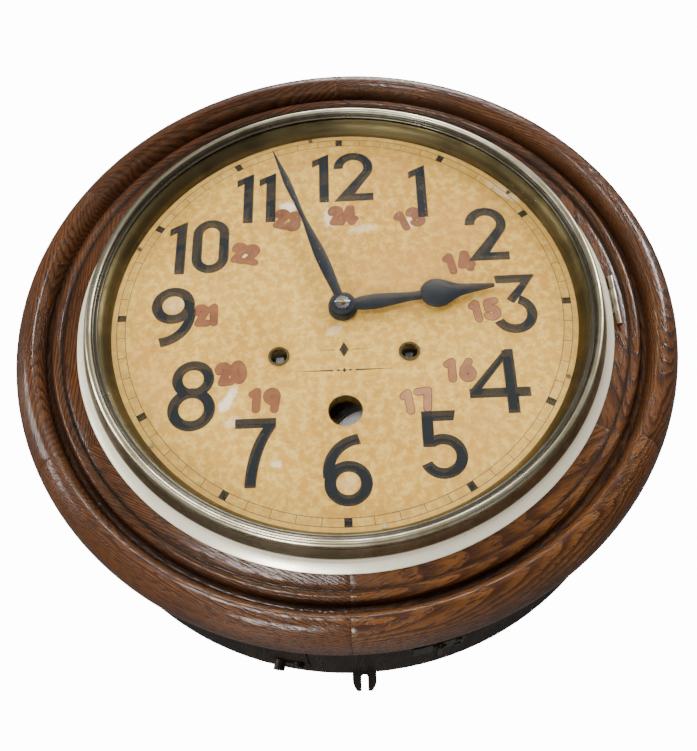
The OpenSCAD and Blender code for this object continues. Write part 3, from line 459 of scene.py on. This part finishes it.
def dial_paper_material():
    """Yellowed printed paper with foxing, fibres, stains and rubbed places."""
    s = Shader("dial_paper")
    broad = s.noise(s.coords, 13.0, 3.0, 0.55)
    mottled = s.noise(s.coords, 210.0, 5.0, 0.66)
    fibre = s.noise(s.coords, 900.0, 3.0, 0.7)
    fox = s.range(s.noise(s.mapped(offset=(3.1, 1.7, 5.3)), 190.0, 2.0, 0.5), 0.66, 0.76)
    colour = s.mix(s.range(broad, 0.38, 0.64), (0.60, 0.350, 0.058), (0.47, 0.250, 0.030))
    colour = s.mix(s.range(mottled, 0.42, 0.62), s.mix(0.45, colour, (0.40, 0.20, 0.028)),
                   s.mix(0.5, colour, (0.72, 0.50, 0.125)))
    colour = s.mix(s.range(fibre, 0.48, 0.70, 0.0, 0.5), colour, (0.36, 0.18, 0.034))
    for places, tint in ((BROWN_STAINS, (0.46, 0.21, 0.05)), (PALE_SCUFFS, (0.88, 0.79, 0.62))):
        for *oval, strength in places:
            colour = s.mix(s.math("MULTIPLY", patch(s, *oval), strength), colour, tint)
    colour = s.mix(s.math("MULTIPLY", fox, 0.6), colour, (0.34, 0.16, 0.05))
    colour = s.mix(s.range(s.radius_mm(), 112.0, 128.0, 0.0, 0.4), colour, (0.58, 0.37, 0.100))
    height = s.math("ADD", s.math("MULTIPLY", fibre, 0.5), mottled)
    return s.finish(colour, 0.62, height=height, relief=0.00004, specular=0.12)


def ink(name, colour, worn, wear=0.25, roughness=0.65):
    """Printed ink that has faded unevenly."""
    s = Shader(name)
    thin = s.noise(s.coords, 130.0, 4.0, 0.62)
    grain = s.noise(s.coords, 1100.0, 2.0, 0.6)
    tint = s.mix(s.range(thin, 0.35, 0.72, 0.0, wear), colour, worn)
    tint = s.mix(s.range(grain, 0.6, 0.76, 0.0, wear * 1.6), tint, worn)
    return s.finish(tint, roughness, height=grain, relief=0.00002, specular=0.15)


def glass_material():
    """Clear old glass, mostly seen straight through, with a faint smear in its gloss."""
    s = Shader("old_glass")
    smear = s.noise(s.mapped(scale=(1, 1, 0.4)), 30.0, 3.0, 0.6)
    shader = s.add("ShaderNodeBsdfPrincipled", Base_Color=(1.0, 1.0, 1.0),
                   Roughness=s.range(smear, 0.5, 0.8, 0.0, 0.02))
    shader.inputs["Transmission Weight"].default_value = 1.0
    shader.inputs["IOR"].default_value = 1.45
    clear = s.add("ShaderNodeBsdfTransparent")
    light_path = s.tree.nodes.new("ShaderNodeLightPath")
    see_through = s.math("MAXIMUM", light_path.outputs["Is Shadow Ray"], 0.955)
    mixed = s.tree.nodes.new("ShaderNodeMixShader")
    s.feed(mixed.inputs[0], see_through)
    s.tree.links.new(shader.outputs[0], mixed.inputs[1])
    s.tree.links.new(clear.outputs[0], mixed.inputs[2])
    output = s.tree.nodes.new("ShaderNodeOutputMaterial")
    s.tree.links.new(mixed.outputs[0], output.inputs["Surface"])
    return s.material


def dress(material, *nodes):
    """Gives CAD nodes a material."""
    for node in nodes:
        mesh = frame["nodes"][node].data
        mesh.materials.clear()
        mesh.materials.append(material)


# ---- Case ----

# Colour of each ring segment, light and dark, clockwise from the one between twelve and two
SEGMENT_WOOD = (
    ((0.109, 0.0344, 0.0063), (0.027, 0.0078, 0.0018)),
    ((0.119, 0.0394, 0.0072), (0.030, 0.0090, 0.0020)),
    ((0.142, 0.0508, 0.0099), (0.038, 0.0115, 0.0025)),
    ((0.123, 0.0426, 0.0090), (0.034, 0.0103, 0.0024)),
    ((0.114, 0.0377, 0.0075), (0.028, 0.0086, 0.0020)),
    ((0.095, 0.0303, 0.0063), (0.025, 0.0074, 0.0018)),
)
LAP = 0.002            # how far each segment runs past its joint, in degrees, so no light leaks through
END_SHRINK = 0.996     # the ends are a little smaller, which leaves a fine groove at each joint
PROFILE_MIDDLE = (145.0, 10.0)


def ring_profile():
    """The moulded ring: flat land, small bead, hollow and large roll."""
    roll = RING_R - 12.0
    return (
        [(RING_BORE, RING_BACK), (RING_BORE, LAND_DEPTH + 0.3), (RING_BORE + 0.3, LAND_DEPTH)]
        + [(radius, LAND_DEPTH) for radius in (130, 140, 150, 153.6)]
        + [(154.3, LAND_DEPTH + 0.5)]
        + arc((157.3, LAND_DEPTH + 0.2), 2.9, 2.9, 186, 345, 16)
        + arc((162.4, 5.6), 2.2, 2.2, 172, 35, 10)
        + arc((roll, 7.0), 4.8, 13.5, 186, 268, 14)
        + arc((roll, 11.5), 12.0, 18.0, 276, 378, 34)
        + [(DRUM_R + 2.4, RING_BACK)]
    )


def ring_segment(index):
    """One segment of the ring, with its grain along its own chord."""
    profile = ring_profile()
    half = 180 / SEGMENTS
    centre = (2 * index + 1) * half
    stops = [-half - LAP, -half + 0.08]
    stops += [half * (i / 24 - 1) for i in range(1, 48)]
    stops += [half - 0.08, half + LAP]
    rows = []
    for clock in stops:
        at_end = clock in (stops[0], stops[-1])
        shrink = END_SHRINK if at_end else 1.0
        row = []
        for radius, depth in profile:
            r = PROFILE_MIDDLE[0] + (radius - PROFILE_MIDDLE[0]) * shrink
            d = PROFILE_MIDDLE[1] + (depth - PROFILE_MIDDLE[1]) * shrink
            if 155 < radius < RING_R - 1 and not at_end:
                r += 0.12 * noise.noise(Vector((clock * 3.1, r * 0.3, index * 7.7)))
            row.append(place(*polar(r, centre + clock), d))
        rows.append(row)
    mesh = tube(f"ring_segment_{index + 1}", rows)
    light, dark = SEGMENT_WOOD[index]
    lean = 7 * math.sin(index * 2.3)
    # the ring's wood carries painted shade in its hollows and at its outer edge
    material = wood(f"ring_wood_{index + 1}", light, dark, (0.012, 0.005, 0.004), clock=centre,
                    seed=(0.31 * index, 0.023 * index, -0.017 * index),
                    tilt=(4 * math.cos(index), lean, lean / 2), ring_mm=1.25 + 0.3 * (index % 3),
                    pith=(0.035 - 0.02 * (index % 2), 0.10 + 0.012 * index), painted_shade=ring_grime)
    piece = new_piece(mesh.name, mesh, material, "case")
    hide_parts("ring_segments")


def case():
    """Six ring segments, the drum, the door, the back and the movement's rails."""
    for index in range(SEGMENTS):
        ring_segment(index)
    drum = wood("drum_wood", (0.017, 0.011, 0.0065), (0.007, 0.0045, 0.003), (0.003, 0.002, 0.0015),
                tilt=(0, 0, 90), ring_mm=3.4, coat=0.05, coat_roughness=0.4, roughness=0.6)
    dress(drum, "case_drum", "bottom_door")
    back = wood("back_wood", (0.25, 0.15, 0.085), (0.13, 0.072, 0.04), (0.06, 0.035, 0.02), tilt=(0, 90, 0),
                ring_mm=5.0, pith=(0.09, 0.02), coat=0.0, roughness=0.7)
    dress(back, "backboard")
    rails = wood("rail_wood", (0.48, 0.31, 0.17), (0.33, 0.19, 0.10), (0.16, 0.09, 0.05), tilt=(0, 90, 0),
                 coat=0.0, roughness=0.65)
    dress(rails, "movement_rails")


# ---- Dial ----

numeral_ink = ink("numeral_ink", (0.0065, 0.0085, 0.0100), (0.022, 0.020, 0.016), 0.12)


def printed(name, shapes, height, tint):
    """Outlines printed on the paper, standing up by a hair's height in millimetres."""
    mesh = raised(name, shapes, -height, 0.0)
    new_piece(mesh.name, mesh, tint, "case", smooth=False)


def band(centre, inner, outer, start, end, steps=36, slant=(0, 0)):
    """A curved stroke as a row of four-sided outlines; slant turns the outer edge's two ends."""
    near = arc(centre, inner, inner, start, end, steps)
    far = arc(centre, outer, outer, start + slant[0], end + slant[1], steps)
    return [[near[i], near[i + 1], far[i + 1], far[i]] for i in range(steps)]


def box_shape(x0, x1, z0, z1):
    """An upright rectangle."""
    return [(x0, z0), (x1, z0), (x1, z1), (x0, z1)]


STEM = 5.8             # width of a numeral's stem


def one(x, top, foot):
    """A 1 with its flag to the left."""
    flag = [(x + STEM, top), (x, top - 7.9), (x - 4.2, top - 10.3), (x - 4.2, top - 5.0)]
    shoulder = [(x + STEM, top), (x + STEM, top - 4), (x, top - 4), (x, top - 2.9)]
    return [box_shape(x, x + STEM, foot, top - 2.9), flag, shoulder]


def two(x, foot):
    """A 2 as an open ring on a cut tail."""
    tail = [(16.7, 21.8), (21.0, 18.1), (12.7, 5.6), (23.5, 5.6), (23.5, 0), (0, 0)]
    return band((x + 12, foot + 25.7), 6.1, 11.8, -40, 183) + turned_shapes([tail], 0, (x, foot))


def three():
    """The 3, flat-topped over an open bowl."""
    bar = [(84.3, 18.4), (106.2, 18.4), (106.2, 16.8), (98.7, 13.1), (84.9, 13.1)]
    slope = [(98.7, 13.4), (106.2, 17.4), (97.6, 4.6), (93.4, -0.4), (89.6, 2.6)]
    return [bar, slope] + band((92.9, -7.0), 6.8, 12.4, -155, 70)


def four():
    """The 4."""
    slope = [(84.8, -29), (89.3, -29), (89.3, -38), (83.2, -36.7), (70.7, -52.3), (70.7, -53), (64.3, -53.3)]
    return [slope, box_shape(83.2, 89.3, -66.7, -29.6), box_shape(64.3, 95.9, -57.4, -51.9)]


def five():
    """The 5, an open bowl under a bar."""
    bar = [(38.5, -63.8), (56.0, -63.8), (54.8, -69.6), (38.5, -69.6)]
    return [bar, box_shape(38.5, 44.4, -83.8, -64.2)] + band((48.3, -89), 6.4, 12.2, -157, 128)


def six():
    """The 6."""
    bowl = band((0.6, -101.6), 6.1, 12.0, 0, 360, 56)
    return bowl + band((8.2, -95.2), 14.5, 20.3, 93, 190, slant=(4, 0))


def seven():
    """The 7, with a curved leg."""
    left = curve((-42.2, -69.4), (-50.6, -82), (-51, -102.2))
    right = curve((-35.7, -69.4), (-44.6, -83), (-45.2, -102.2))
    leg = [[left[i], left[i + 1], right[i + 1], right[i]] for i in range(len(left) - 1)]
    return leg + [box_shape(-56.8, -35.7, -69.7, -64.2)]


def eight():
    """The 8, two rings."""
    return band((-80, -39.9), 5.6, 11.2, 0, 360, 56) + band((-80, -57.6), 6.6, 12.5, 0, 360, 56)


def nine():
    """The 9, the 6 turned upside down."""
    return turned_shapes(six(), 180, (-93.3, -94.3))


def nought(x0, x1, z0, z1, stroke):
    """A tall nought with straight sides, made of two half rings and two bars."""
    outer = (x1 - x0) / 2
    middle = (x0 + x1) / 2
    shapes = band((middle, z1 - outer), outer - stroke, outer, 0, 180)
    shapes += band((middle, z0 + outer), outer - stroke, outer, 180, 360)
    shapes.append(box_shape(x0, x0 + stroke, z0 + outer, z1 - outer))
    shapes.append(box_shape(x1 - stroke, x1, z0 + outer, z1 - outer))
    return shapes


def hour_numerals():
    """The twelve printed numerals, each where the printer set it."""
    return {
        1: one(45.2, 101.2, 61.8), 2: two(71.2, 29.0), 3: three(), 4: four(), 5: five(), 6: six(),
        7: seven(), 8: eight(), 9: nine(),
        10: one(-95.2, 65.6, 28.3) + nought(-85.8, -64.6, 28.3, 66.1, 5.75),
        11: one(-57.2, 100.2, 62.8) + one(-43.9, 100.2, 62.8),
        12: one(-12.3, 113.2, 75.8) + two(-3.7, 75.9),
    }


def stroke(points, width):
    """A round-ended pen stroke as one outline for each straight part and a disc at each corner."""
    shapes = []
    half = width / 2
    for (ax, az), (bx, bz) in zip(points, points[1:]):
        run = math.hypot(bx - ax, bz - az)
        nx, nz = -(bz - az) / run * half, (bx - ax) / run * half
        shapes.append([(ax + nx, az + nz), (bx + nx, bz + nz), (bx - nx, bz - nz), (ax - nx, az - nz)])
    for point in points:
        shapes.append(arc(point, half, half, 0, 345, 23))
    return shapes


# Pen strokes of the stuck-on digits, in a space about 7 wide and 14 high
PEN = {
    "0": [arc((3.5, 7), 2.3, 5.0, 0, 360, 18)],
    "1": [[(0.6, 10.6), (2.8, 12.2), (2.8, 1.9)]],
    "2": [arc((3.0, 10.0), 2.4, 2.3, 200, -40, 10) + [(1.6, 2.2), (6.2, 2.0)]],
    "3": [arc((3.2, 10.0), 2.3, 2.3, 170, -80, 9), arc((3.4, 4.5), 2.6, 2.7, 95, -160, 10)],
    "4": [[(3.9, 12.2), (1.0, 4.6), (6.8, 4.4)], [(4.6, 12.2), (5.2, 1.9)]],
    "5": [[(6.2, 12.2), (2.0, 11.6), (1.8, 7.6)], arc((3.2, 4.9), 2.9, 3.0, 110, -150, 10)],
    "6": [[(4.6, 12.0), (1.6, 7.0)], arc((3.6, 4.6), 2.4, 2.8, 180, -180, 14)],
    "7": [[(0.8, 12.0), (6.2, 12.0), (4.2, 1.9)]],
    "9": [arc((3.4, 9.4), 2.4, 2.8, 0, 360, 14), [(5.7, 9.0), (5.0, 1.9)]],
}
# Hour on the 24-hour scale: centre x, centre z, turn counter-clockwise, and how faded it is (0 to 2)
AFTERNOON = {
    13: (40.5, 61.0, 20, 0), 14: (66.0, 28.5, 10, 0), 15: (77.5, -4.0, 7, 1), 16: (61.0, -40.5, 0, 1),
    17: (37.5, -57.5, 7, 2), 19: (-41.5, -54.0, -2, 0), 20: (-59.5, -37.0, 8, 0), 21: (-73.7, 0.0, 2, 0),
    22: (-54.5, 40.5, -12, 0), 23: (-30.5, 63.5, -16, 0), 24: (1.5, 65.3, 0, 0),
}
PEN_WIDTH = 3.9
FIRST_DIGIT = (-7.4, -7.0)
SECOND_DIGIT = (-0.1, -7.0)


def afternoon_numerals():
    """The red numerals from 13 to 24, slightly crooked; the 18 is missing."""
    fresh = ink("red_ink", (0.150, 0.052, 0.026), (0.25, 0.095, 0.038), 0.6, 0.6)
    pale = ink("red_ink_faded", (0.220, 0.092, 0.050), (0.33, 0.150, 0.052), 0.7, 0.6)
    ghost = ink("red_ink_ghost", (0.290, 0.125, 0.078), (0.38, 0.190, 0.066), 0.8, 0.6)
    edges = ink("red_ink_edge", (0.085, 0.028, 0.014), (0.19, 0.075, 0.028), 0.8, 0.6)
    for hour, (x, z, turn, fade) in AFTERNOON.items():
        layers = (("edge", PEN_WIDTH + 0.7, 0.02, edges),
                  ("fill", PEN_WIDTH - 0.2, 0.035, (fresh, pale, ghost)[fade]))
        for layer, width, height, tint in layers:
            shapes = []
            for digit, (left, foot) in zip(str(hour), (FIRST_DIGIT, SECOND_DIGIT)):
                for path in PEN[digit]:
                    shapes += turned_shapes(stroke(path, width), 0, (left, foot))
            printed(f"numeral_{hour}_{layer}", turned_shapes(shapes, turn, (x, z)), height, tint)


TRACK_IN = 119.5       # the minute track's two circles
TRACK_OUT = 124.1
LINE = 0.32            # width of a printed line


def minute_track():
    """Two circles, a tick for each minute and a block for each five."""
    thin = ink("track_ink", (0.055, 0.030, 0.018), (0.20, 0.12, 0.06), 0.35)
    shapes = []
    for radius in (TRACK_IN, TRACK_OUT):
        shapes += band((0, 0), radius - LINE / 2, radius + LINE / 2, 0, 360, 240)
    for minute in range(60):
        if minute % 5:
            tick = box_shape(-LINE / 2, LINE / 2, TRACK_IN, TRACK_OUT)
            shapes += turned_shapes([tick], -6 * minute, (0, 0))
    printed("minute_track", shapes, 0.03, thin)
    blocks = []
    for hour in range(12):
        blocks += turned_shapes([box_shape(-2.0, 2.0, TRACK_IN, TRACK_OUT)], -30 * hour, (0, 0))
    printed("hour_blocks", blocks, 0.045, numeral_ink)


def ornament():
    """Plain printed rules and lozenges, with no lettering."""
    shapes = [[(0, -20.6), (2.6, -25.2), (0, -29.8), (-2.6, -25.2)]]
    for side in (-1, 1):
        shapes.append([(side * 5, -25.0), (side * 15, -25.2), (side * 5, -25.5)])
        shapes.append([(side * 6, -37.3), (side * 26, -37.8), (side * 6, -38.3)])
        shapes.append([(side * 2.0, -37.8), (side * 3.2, -37.1), (side * 4.4, -37.8), (side * 3.2, -38.5)])
    shapes.append([(0, -36.4), (1.2, -37.8), (0, -39.2), (-1.2, -37.8)])
    printed("dial_ornament", shapes, 0.035, numeral_ink)


def dial():
    """The paper and everything printed on it."""
    dress(dial_paper_material(), "dial_paper")
    for hour, shapes in hour_numerals().items():
        printed(f"numeral_{hour}", shapes, 0.05, numeral_ink)
    afternoon_numerals()
    minute_track()
    ornament()


# ---- Bezel ----

BEAD = (136.1, -11.72)  # radius and depth of the bead's centre
BEAD_SIZE = 2.3
NECK_FOOT = (142.1, -1.7)
GLASS_R = outer_radius("bezel_glass")
LIP_R = GLASS_R - 1.2
GLASS_FRONT = front_of("bezel_glass")
GLASS_BACK = back_of("bezel_glass")
FLANGE_R = outer_radius("bezel_ring")


def bezel_profile():
    """Lip over the glass, rounded bead, concave neck and the wide sloping flange."""
    lip = GLASS_FRONT - 0.6
    neck = curve((138.0, -10.6), (140.6, -5.4), NECK_FOOT, 10)
    flange = curve(NECK_FOOT, (143.8, 0.4), (FLANGE_R - 0.2, 2.0), 8)
    under = [(FLANGE_R, 2.2), (FLANGE_R, 2.6), (FLANGE_R - 0.8, 2.75), (141.2, -0.5), (137.2, -8.8)]
    return (
        [(LIP_R, GLASS_FRONT - 0.05), (LIP_R, lip + 0.2), (LIP_R + 0.2, lip), (133.4, lip)]
        + [(133.9, lip + 0.15)]
        + arc(BEAD, BEAD_SIZE, BEAD_SIZE, 178, 395, 30) + neck[1:] + flange[1:] + under
        + [(135.0, -8.6), (GLASS_R + 0.1, -8.5), (GLASS_R + 0.1, GLASS_FRONT - 0.05)]
    )


def bezel():
    """Brass ring, sight ring and glass, the bezel hinge's plates and the hinge pins."""
    bright = brass("bezel_brass", (0.46, 0.42, 0.30), (0.20, 0.17, 0.10), (0.70, 0.65, 0.48), 0.32,
                   flanged=True)
    mesh = lathe("bezel", bezel_profile(), 360, 0.10, 26.0)
    ring = new_piece(mesh.name, mesh, bright, "bezel")
    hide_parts("bezel_ring")
    yellow = brass("sight_brass", (0.068, 0.053, 0.022), (0.030, 0.023, 0.010), (0.15, 0.12, 0.055),
                   0.46)
    top = GLASS_R + 0.05
    cone = [(top, GLASS_BACK), (top, GLASS_BACK + 0.9), (130.0, -5.0), (127.75, -0.45), (127.1, -0.4),
            (127.0, -0.7), (127.1, -1.05), (129.3, -5.1), (GLASS_R - 0.9, GLASS_BACK)]
    mesh = lathe("sight_ring_turned", cone, 360, 0.07, 18.0)
    sight = new_piece(mesh.name, mesh, yellow, "bezel")
    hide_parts("sight_ring")
    dress(glass_material(), "bezel_glass")
    dress(metal("hinge_plate", (0.36, 0.32, 0.25), (0.14, 0.115, 0.08), 0.38, 160.0), "bezel_hinge_strap",
          "bezel_hinge_leaf", "hinge_pins")


# ---- Hands ----

MINUTE_AT = 340.5      # clock angles of the hands in the photograph
HOUR_AT = 83.5
# Outlines of the hands: distance from the centre and half width
MINUTE_HALF = [(5.5, 2.35), (12, 2.6), (20, 3.1), (30, 3.4), (38, 3.3), (49, 2.5), (58, 1.7), (66, 1.3),
               (76, 1.6), (90, 2.1), (98, 1.8), (108, 1.0), (118.4, 0.28)]
HOUR_HALF = [(6, 3.3), (11, 4.4), (17, 4.8), (22, 4.5), (30, 3.6), (38, 2.75), (44, 2.9)]
HOUR_HEAD = (52.0, 9.2)    # centre and radius of the hour hand's round head
HOUR_TIP = [(56.5, 8.1), (60, 6.2), (64, 4.3), (69, 3.2), (76, 2.3), (83.8, 1.15)]
HOUR_FRONT = -4.62         # depths of the hour hand's blade
HOUR_BACK = -3.92
HAND_BEVEL = 0.28


def hand_mesh(name, outline, clock, front, back, crown):
    """A flat hand with a bevelled edge and a low crown along its middle."""
    heading = math.radians(clock)
    out = Vector((math.sin(heading), 0, math.cos(heading)))
    side = Vector((out.z, 0, -out.x))
    rows = []
    for along, half in outline:
        inset = max(half - HAND_BEVEL, half * 0.5)
        section = [(-half, back), (-half, front + HAND_BEVEL), (-inset, front), (0, front - crown),
                   (inset, front), (half, front + HAND_BEVEL), (half, back)]
        rows.append([(out * along + side * across) * MM + place(0, 0, depth) for across, depth in section])
    return tube(name, rows)


def blued_steel():
    """Hands blued long ago: slate blue with brown-grey wear."""
    s = Shader("blued_steel")
    cloud = s.noise(s.coords, 70.0, 4.0, 0.6)
    speck = s.noise(s.coords, 700.0, 3.0, 0.65)
    tint = s.mix(s.range(cloud, 0.36, 0.68), (0.0065, 0.0095, 0.0135), (0.015, 0.0150, 0.0145))
    tint = s.mix(s.range(speck, 0.62, 0.74, 0.0, 0.4), tint, (0.06, 0.056, 0.048))
    rough = s.math("ADD", 0.44, s.math("MULTIPLY", speck, 0.25))
    return s.finish(tint, rough, height=speck, relief=0.00002, specular=0.14)


def hands():
    """Both hands, replacing their flat CAD plates, with domed hubs."""
    blue = blued_steel()
    front = front_of("minute_hand")
    back = back_of("minute_hand")
    mesh = hand_mesh("minute_blade", smooth_outline(MINUTE_HALF), MINUTE_AT, front + 0.22, back, 0.2)
    blade = new_piece(mesh.name, mesh, blue, "minute_arbor")
    dome = [(1.9, back), (7.1, back), (7.28, back - 0.25), (7.28, back - 0.45), (6.9, front + 0.22)]
    dome += [(5.4, front + 0.08), (3.4, front + 0.01), (1.9, front + 0.01)]
    mesh = lathe("minute_hub", dome, 96)
    hub = new_piece(mesh.name, mesh, blue, "minute_arbor")
    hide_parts("minute_hand")
    front = front_of("hour_hand")
    outline = smooth_outline(HOUR_HALF)
    head = arc((HOUR_HEAD[0], 0), HOUR_HEAD[1], HOUR_HEAD[1], 158, 68, 16)
    outline += head + smooth_outline(HOUR_TIP)
    mesh = hand_mesh("hour_blade", outline, HOUR_AT, HOUR_FRONT, HOUR_BACK, 0.16)
    blade = new_piece(mesh.name, mesh, blue, "hour_pipe")
    collet = [(3.45, -0.85), (7.7, -0.85), (7.86, -1.1), (7.86, -4.4), (7.5, front + 0.12), (6.9, front)]
    mesh = lathe("hour_collet", collet + [(3.45, front)], 96)
    hub = new_piece(mesh.name, mesh, blue, "hour_pipe")
    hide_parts("hour_hand")


# ---- Everything that keeps its CAD shape ----

def other_metals():
    """Movement, screws and iron parts keep their CAD shape and get worn metal."""
    gold = brass("clock_brass", (0.62, 0.45, 0.18), (0.36, 0.24, 0.09), (0.78, 0.62, 0.32), 0.30,
                 turned=False)
    small = brass("small_brass", (0.40, 0.33, 0.19), (0.15, 0.115, 0.065), (0.62, 0.55, 0.38), 0.38,
                  turned=False)
    steel = metal("steel", (0.46, 0.47, 0.49), (0.22, 0.21, 0.20), 0.28)
    blue = metal("spring_steel", (0.07, 0.09, 0.14), (0.10, 0.09, 0.085), 0.35)
    iron = metal("dark_iron", (0.040, 0.038, 0.035), (0.06, 0.045, 0.034), 0.6, 120.0, 0.00008)
    bob = metal("bob_metal", (0.86, 0.86, 0.83), (0.60, 0.57, 0.50), 0.3, 45.0, metallic=0.3)
    zinc = metal("dial_zinc", (0.42, 0.42, 0.40), (0.24, 0.23, 0.20), 0.5, 50.0)
    hinge = metal("door_hinge_steel", (0.045, 0.038, 0.030), (0.020, 0.016, 0.012), 0.55, 140.0)
    eyelet = brass("eyelet_brass", (0.13, 0.105, 0.055), (0.05, 0.04, 0.02), (0.30, 0.25, 0.13), 0.4,
                   turned=False)
    by_slot = {"clock_brass": gold, "aged_brass": small, "steel": steel, "blued_steel": blue,
               "dark_iron": iron, "bob_metal": bob, "dial_metal": zinc}
    remade = {"bezel_ring", "sight_ring", "minute_hand", "hour_hand"}
    for row in frame["record"]["subparts"]:
        if row["material_slot"] in by_slot and row["node"] not in remade:
            dress(by_slot[row["material_slot"]], row["node"])
    dress(hinge, "door_hinge_strap", "door_hinge_leaf", "door_catch", "hinge_screws")
    dress(eyelet, "keyhole_eyelets")
    dress(steel, "hand_washer", "taper_pin")


# ---- Stage ----

WORLD_LIGHT = 0.20      # what the surroundings give as light
WORLD_SEEN = 14.0       # how bright the surroundings look behind the clock
FLOOR_SEEN = 2.6        # what the floor's glow adds to how bright it looks
FLOOR_Z = -1.5
FLOOR_HALF = 15.0
# Soft lights: name, place in metres, diameter and power in watts
LIGHTS = (
    ("low_window", (-0.50, -0.85, -1.30), 0.50, 19.0),
    ("ceiling", (0.15, -0.6, 1.5), 0.9, 34.0),
    ("key", (1.25, -1.05, 1.05), 0.6, 35.0),
    ("front_window", (-0.20, -1.05, 0.02), 0.27, 5.5),
    ("left_wall", (-1.35, -0.75, 0.15), 0.8, 23.0),
    ("back_wall", (-0.5, 2.0, 1.5), 1.5, 110.0),
)


def area_light(name, at, aim, size, power):
    """A round soft light that shines from one place towards another, and isn't itself seen."""
    lamp = bpy.data.lights.new(name, "AREA")
    lamp.shape = "DISK"
    lamp.size = size
    lamp.energy = power
    light = bpy.data.objects.new(name, lamp)
    light.location = at
    light.visible_camera = False
    light.rotation_mode = "QUATERNION"
    light.rotation_quaternion = (Vector(aim) - Vector(at)).to_track_quat("-Z", "Y")
    bpy.context.scene.collection.objects.link(light)


def brighter_to_camera(floor_shader, strength):
    """Makes the floor look paler to the camera than the light that it sends up to the clock."""
    surface = next(n for n in floor_shader.tree.nodes if n.type == "BSDF_PRINCIPLED")
    surface.inputs["Emission Color"].default_value = (1.0, 1.0, 1.0, 1.0)
    seen = floor_shader.tree.nodes.new("ShaderNodeLightPath")
    glow = floor_shader.tree.nodes.new("ShaderNodeMapRange")
    glow.inputs["To Max"].default_value = strength
    floor_shader.tree.links.new(seen.outputs["Is Camera Ray"], glow.inputs["Value"])
    floor_shader.tree.links.new(glow.outputs[0], surface.inputs["Emission Strength"])


def stage():
    """A pale floor well below, white surroundings and soft studio lights."""
    mesh = bpy.data.meshes.new("floor")
    corners = [(x * FLOOR_HALF, y * FLOOR_HALF, FLOOR_Z) for x, y in ((-1, -1), (1, -1), (1, 1), (-1, 1))]
    mesh.from_pydata(corners, [], [(0, 1, 2, 3)])
    floor = bpy.data.objects.new("floor", mesh)
    bpy.context.scene.collection.objects.link(floor)
    s = Shader("floor")
    pale = s.finish(s.mix(s.noise(s.coords, 3.0), shade(0.42), shade(0.46)), 0.9)
    mesh.materials.append(pale)
    brighter_to_camera(s, FLOOR_SEEN)
    world = bpy.data.worlds.new("studio")
    world.use_nodes = True
    tree = world.node_tree
    background = tree.nodes["Background"]
    background.inputs["Color"].default_value = (1.0, 1.0, 1.0, 1.0)
    seen = tree.nodes.new("ShaderNodeLightPath")
    strength = tree.nodes.new("ShaderNodeMapRange")
    strength.inputs["To Min"].default_value = WORLD_LIGHT
    strength.inputs["To Max"].default_value = WORLD_SEEN
    tree.links.new(seen.outputs["Is Camera Ray"], strength.inputs["Value"])
    tree.links.new(strength.outputs[0], background.inputs["Strength"])
    bpy.context.scene.world = world
    middle = (0, DIAL_Y, 0)
    for name, at, size, power in LIGHTS:
        area_light(name, at, middle, size, power)


# The camera that fits the photograph's circles: place, the way it looks, and its up
CAMERA_AT = (0.0117, -0.4926, -0.2611)
CAMERA_FORWARD = (-0.0211, 0.8769, 0.4802)
CAMERA_UP = (0.0397, -0.4792, 0.8768)


def camera():
    """Below the clock and looking up at it, as it was photographed."""
    data = bpy.data.cameras.new("camera")
    data.lens = 41.8
    data.sensor_width = 36.0
    eye = bpy.data.objects.new("camera", data)
    forward = Vector(CAMERA_FORWARD).normalized()
    right = forward.cross(Vector(CAMERA_UP)).normalized()
    up = right.cross(forward)
    turn = Matrix((right, up, -forward)).transposed().to_4x4()
    eye.matrix_world = Matrix.Translation(CAMERA_AT) @ turn
    bpy.context.scene.collection.objects.link(eye)
    bpy.context.scene.camera = eye


case()
dial()
bezel()
hands()
other_metals()
stage()
camera()
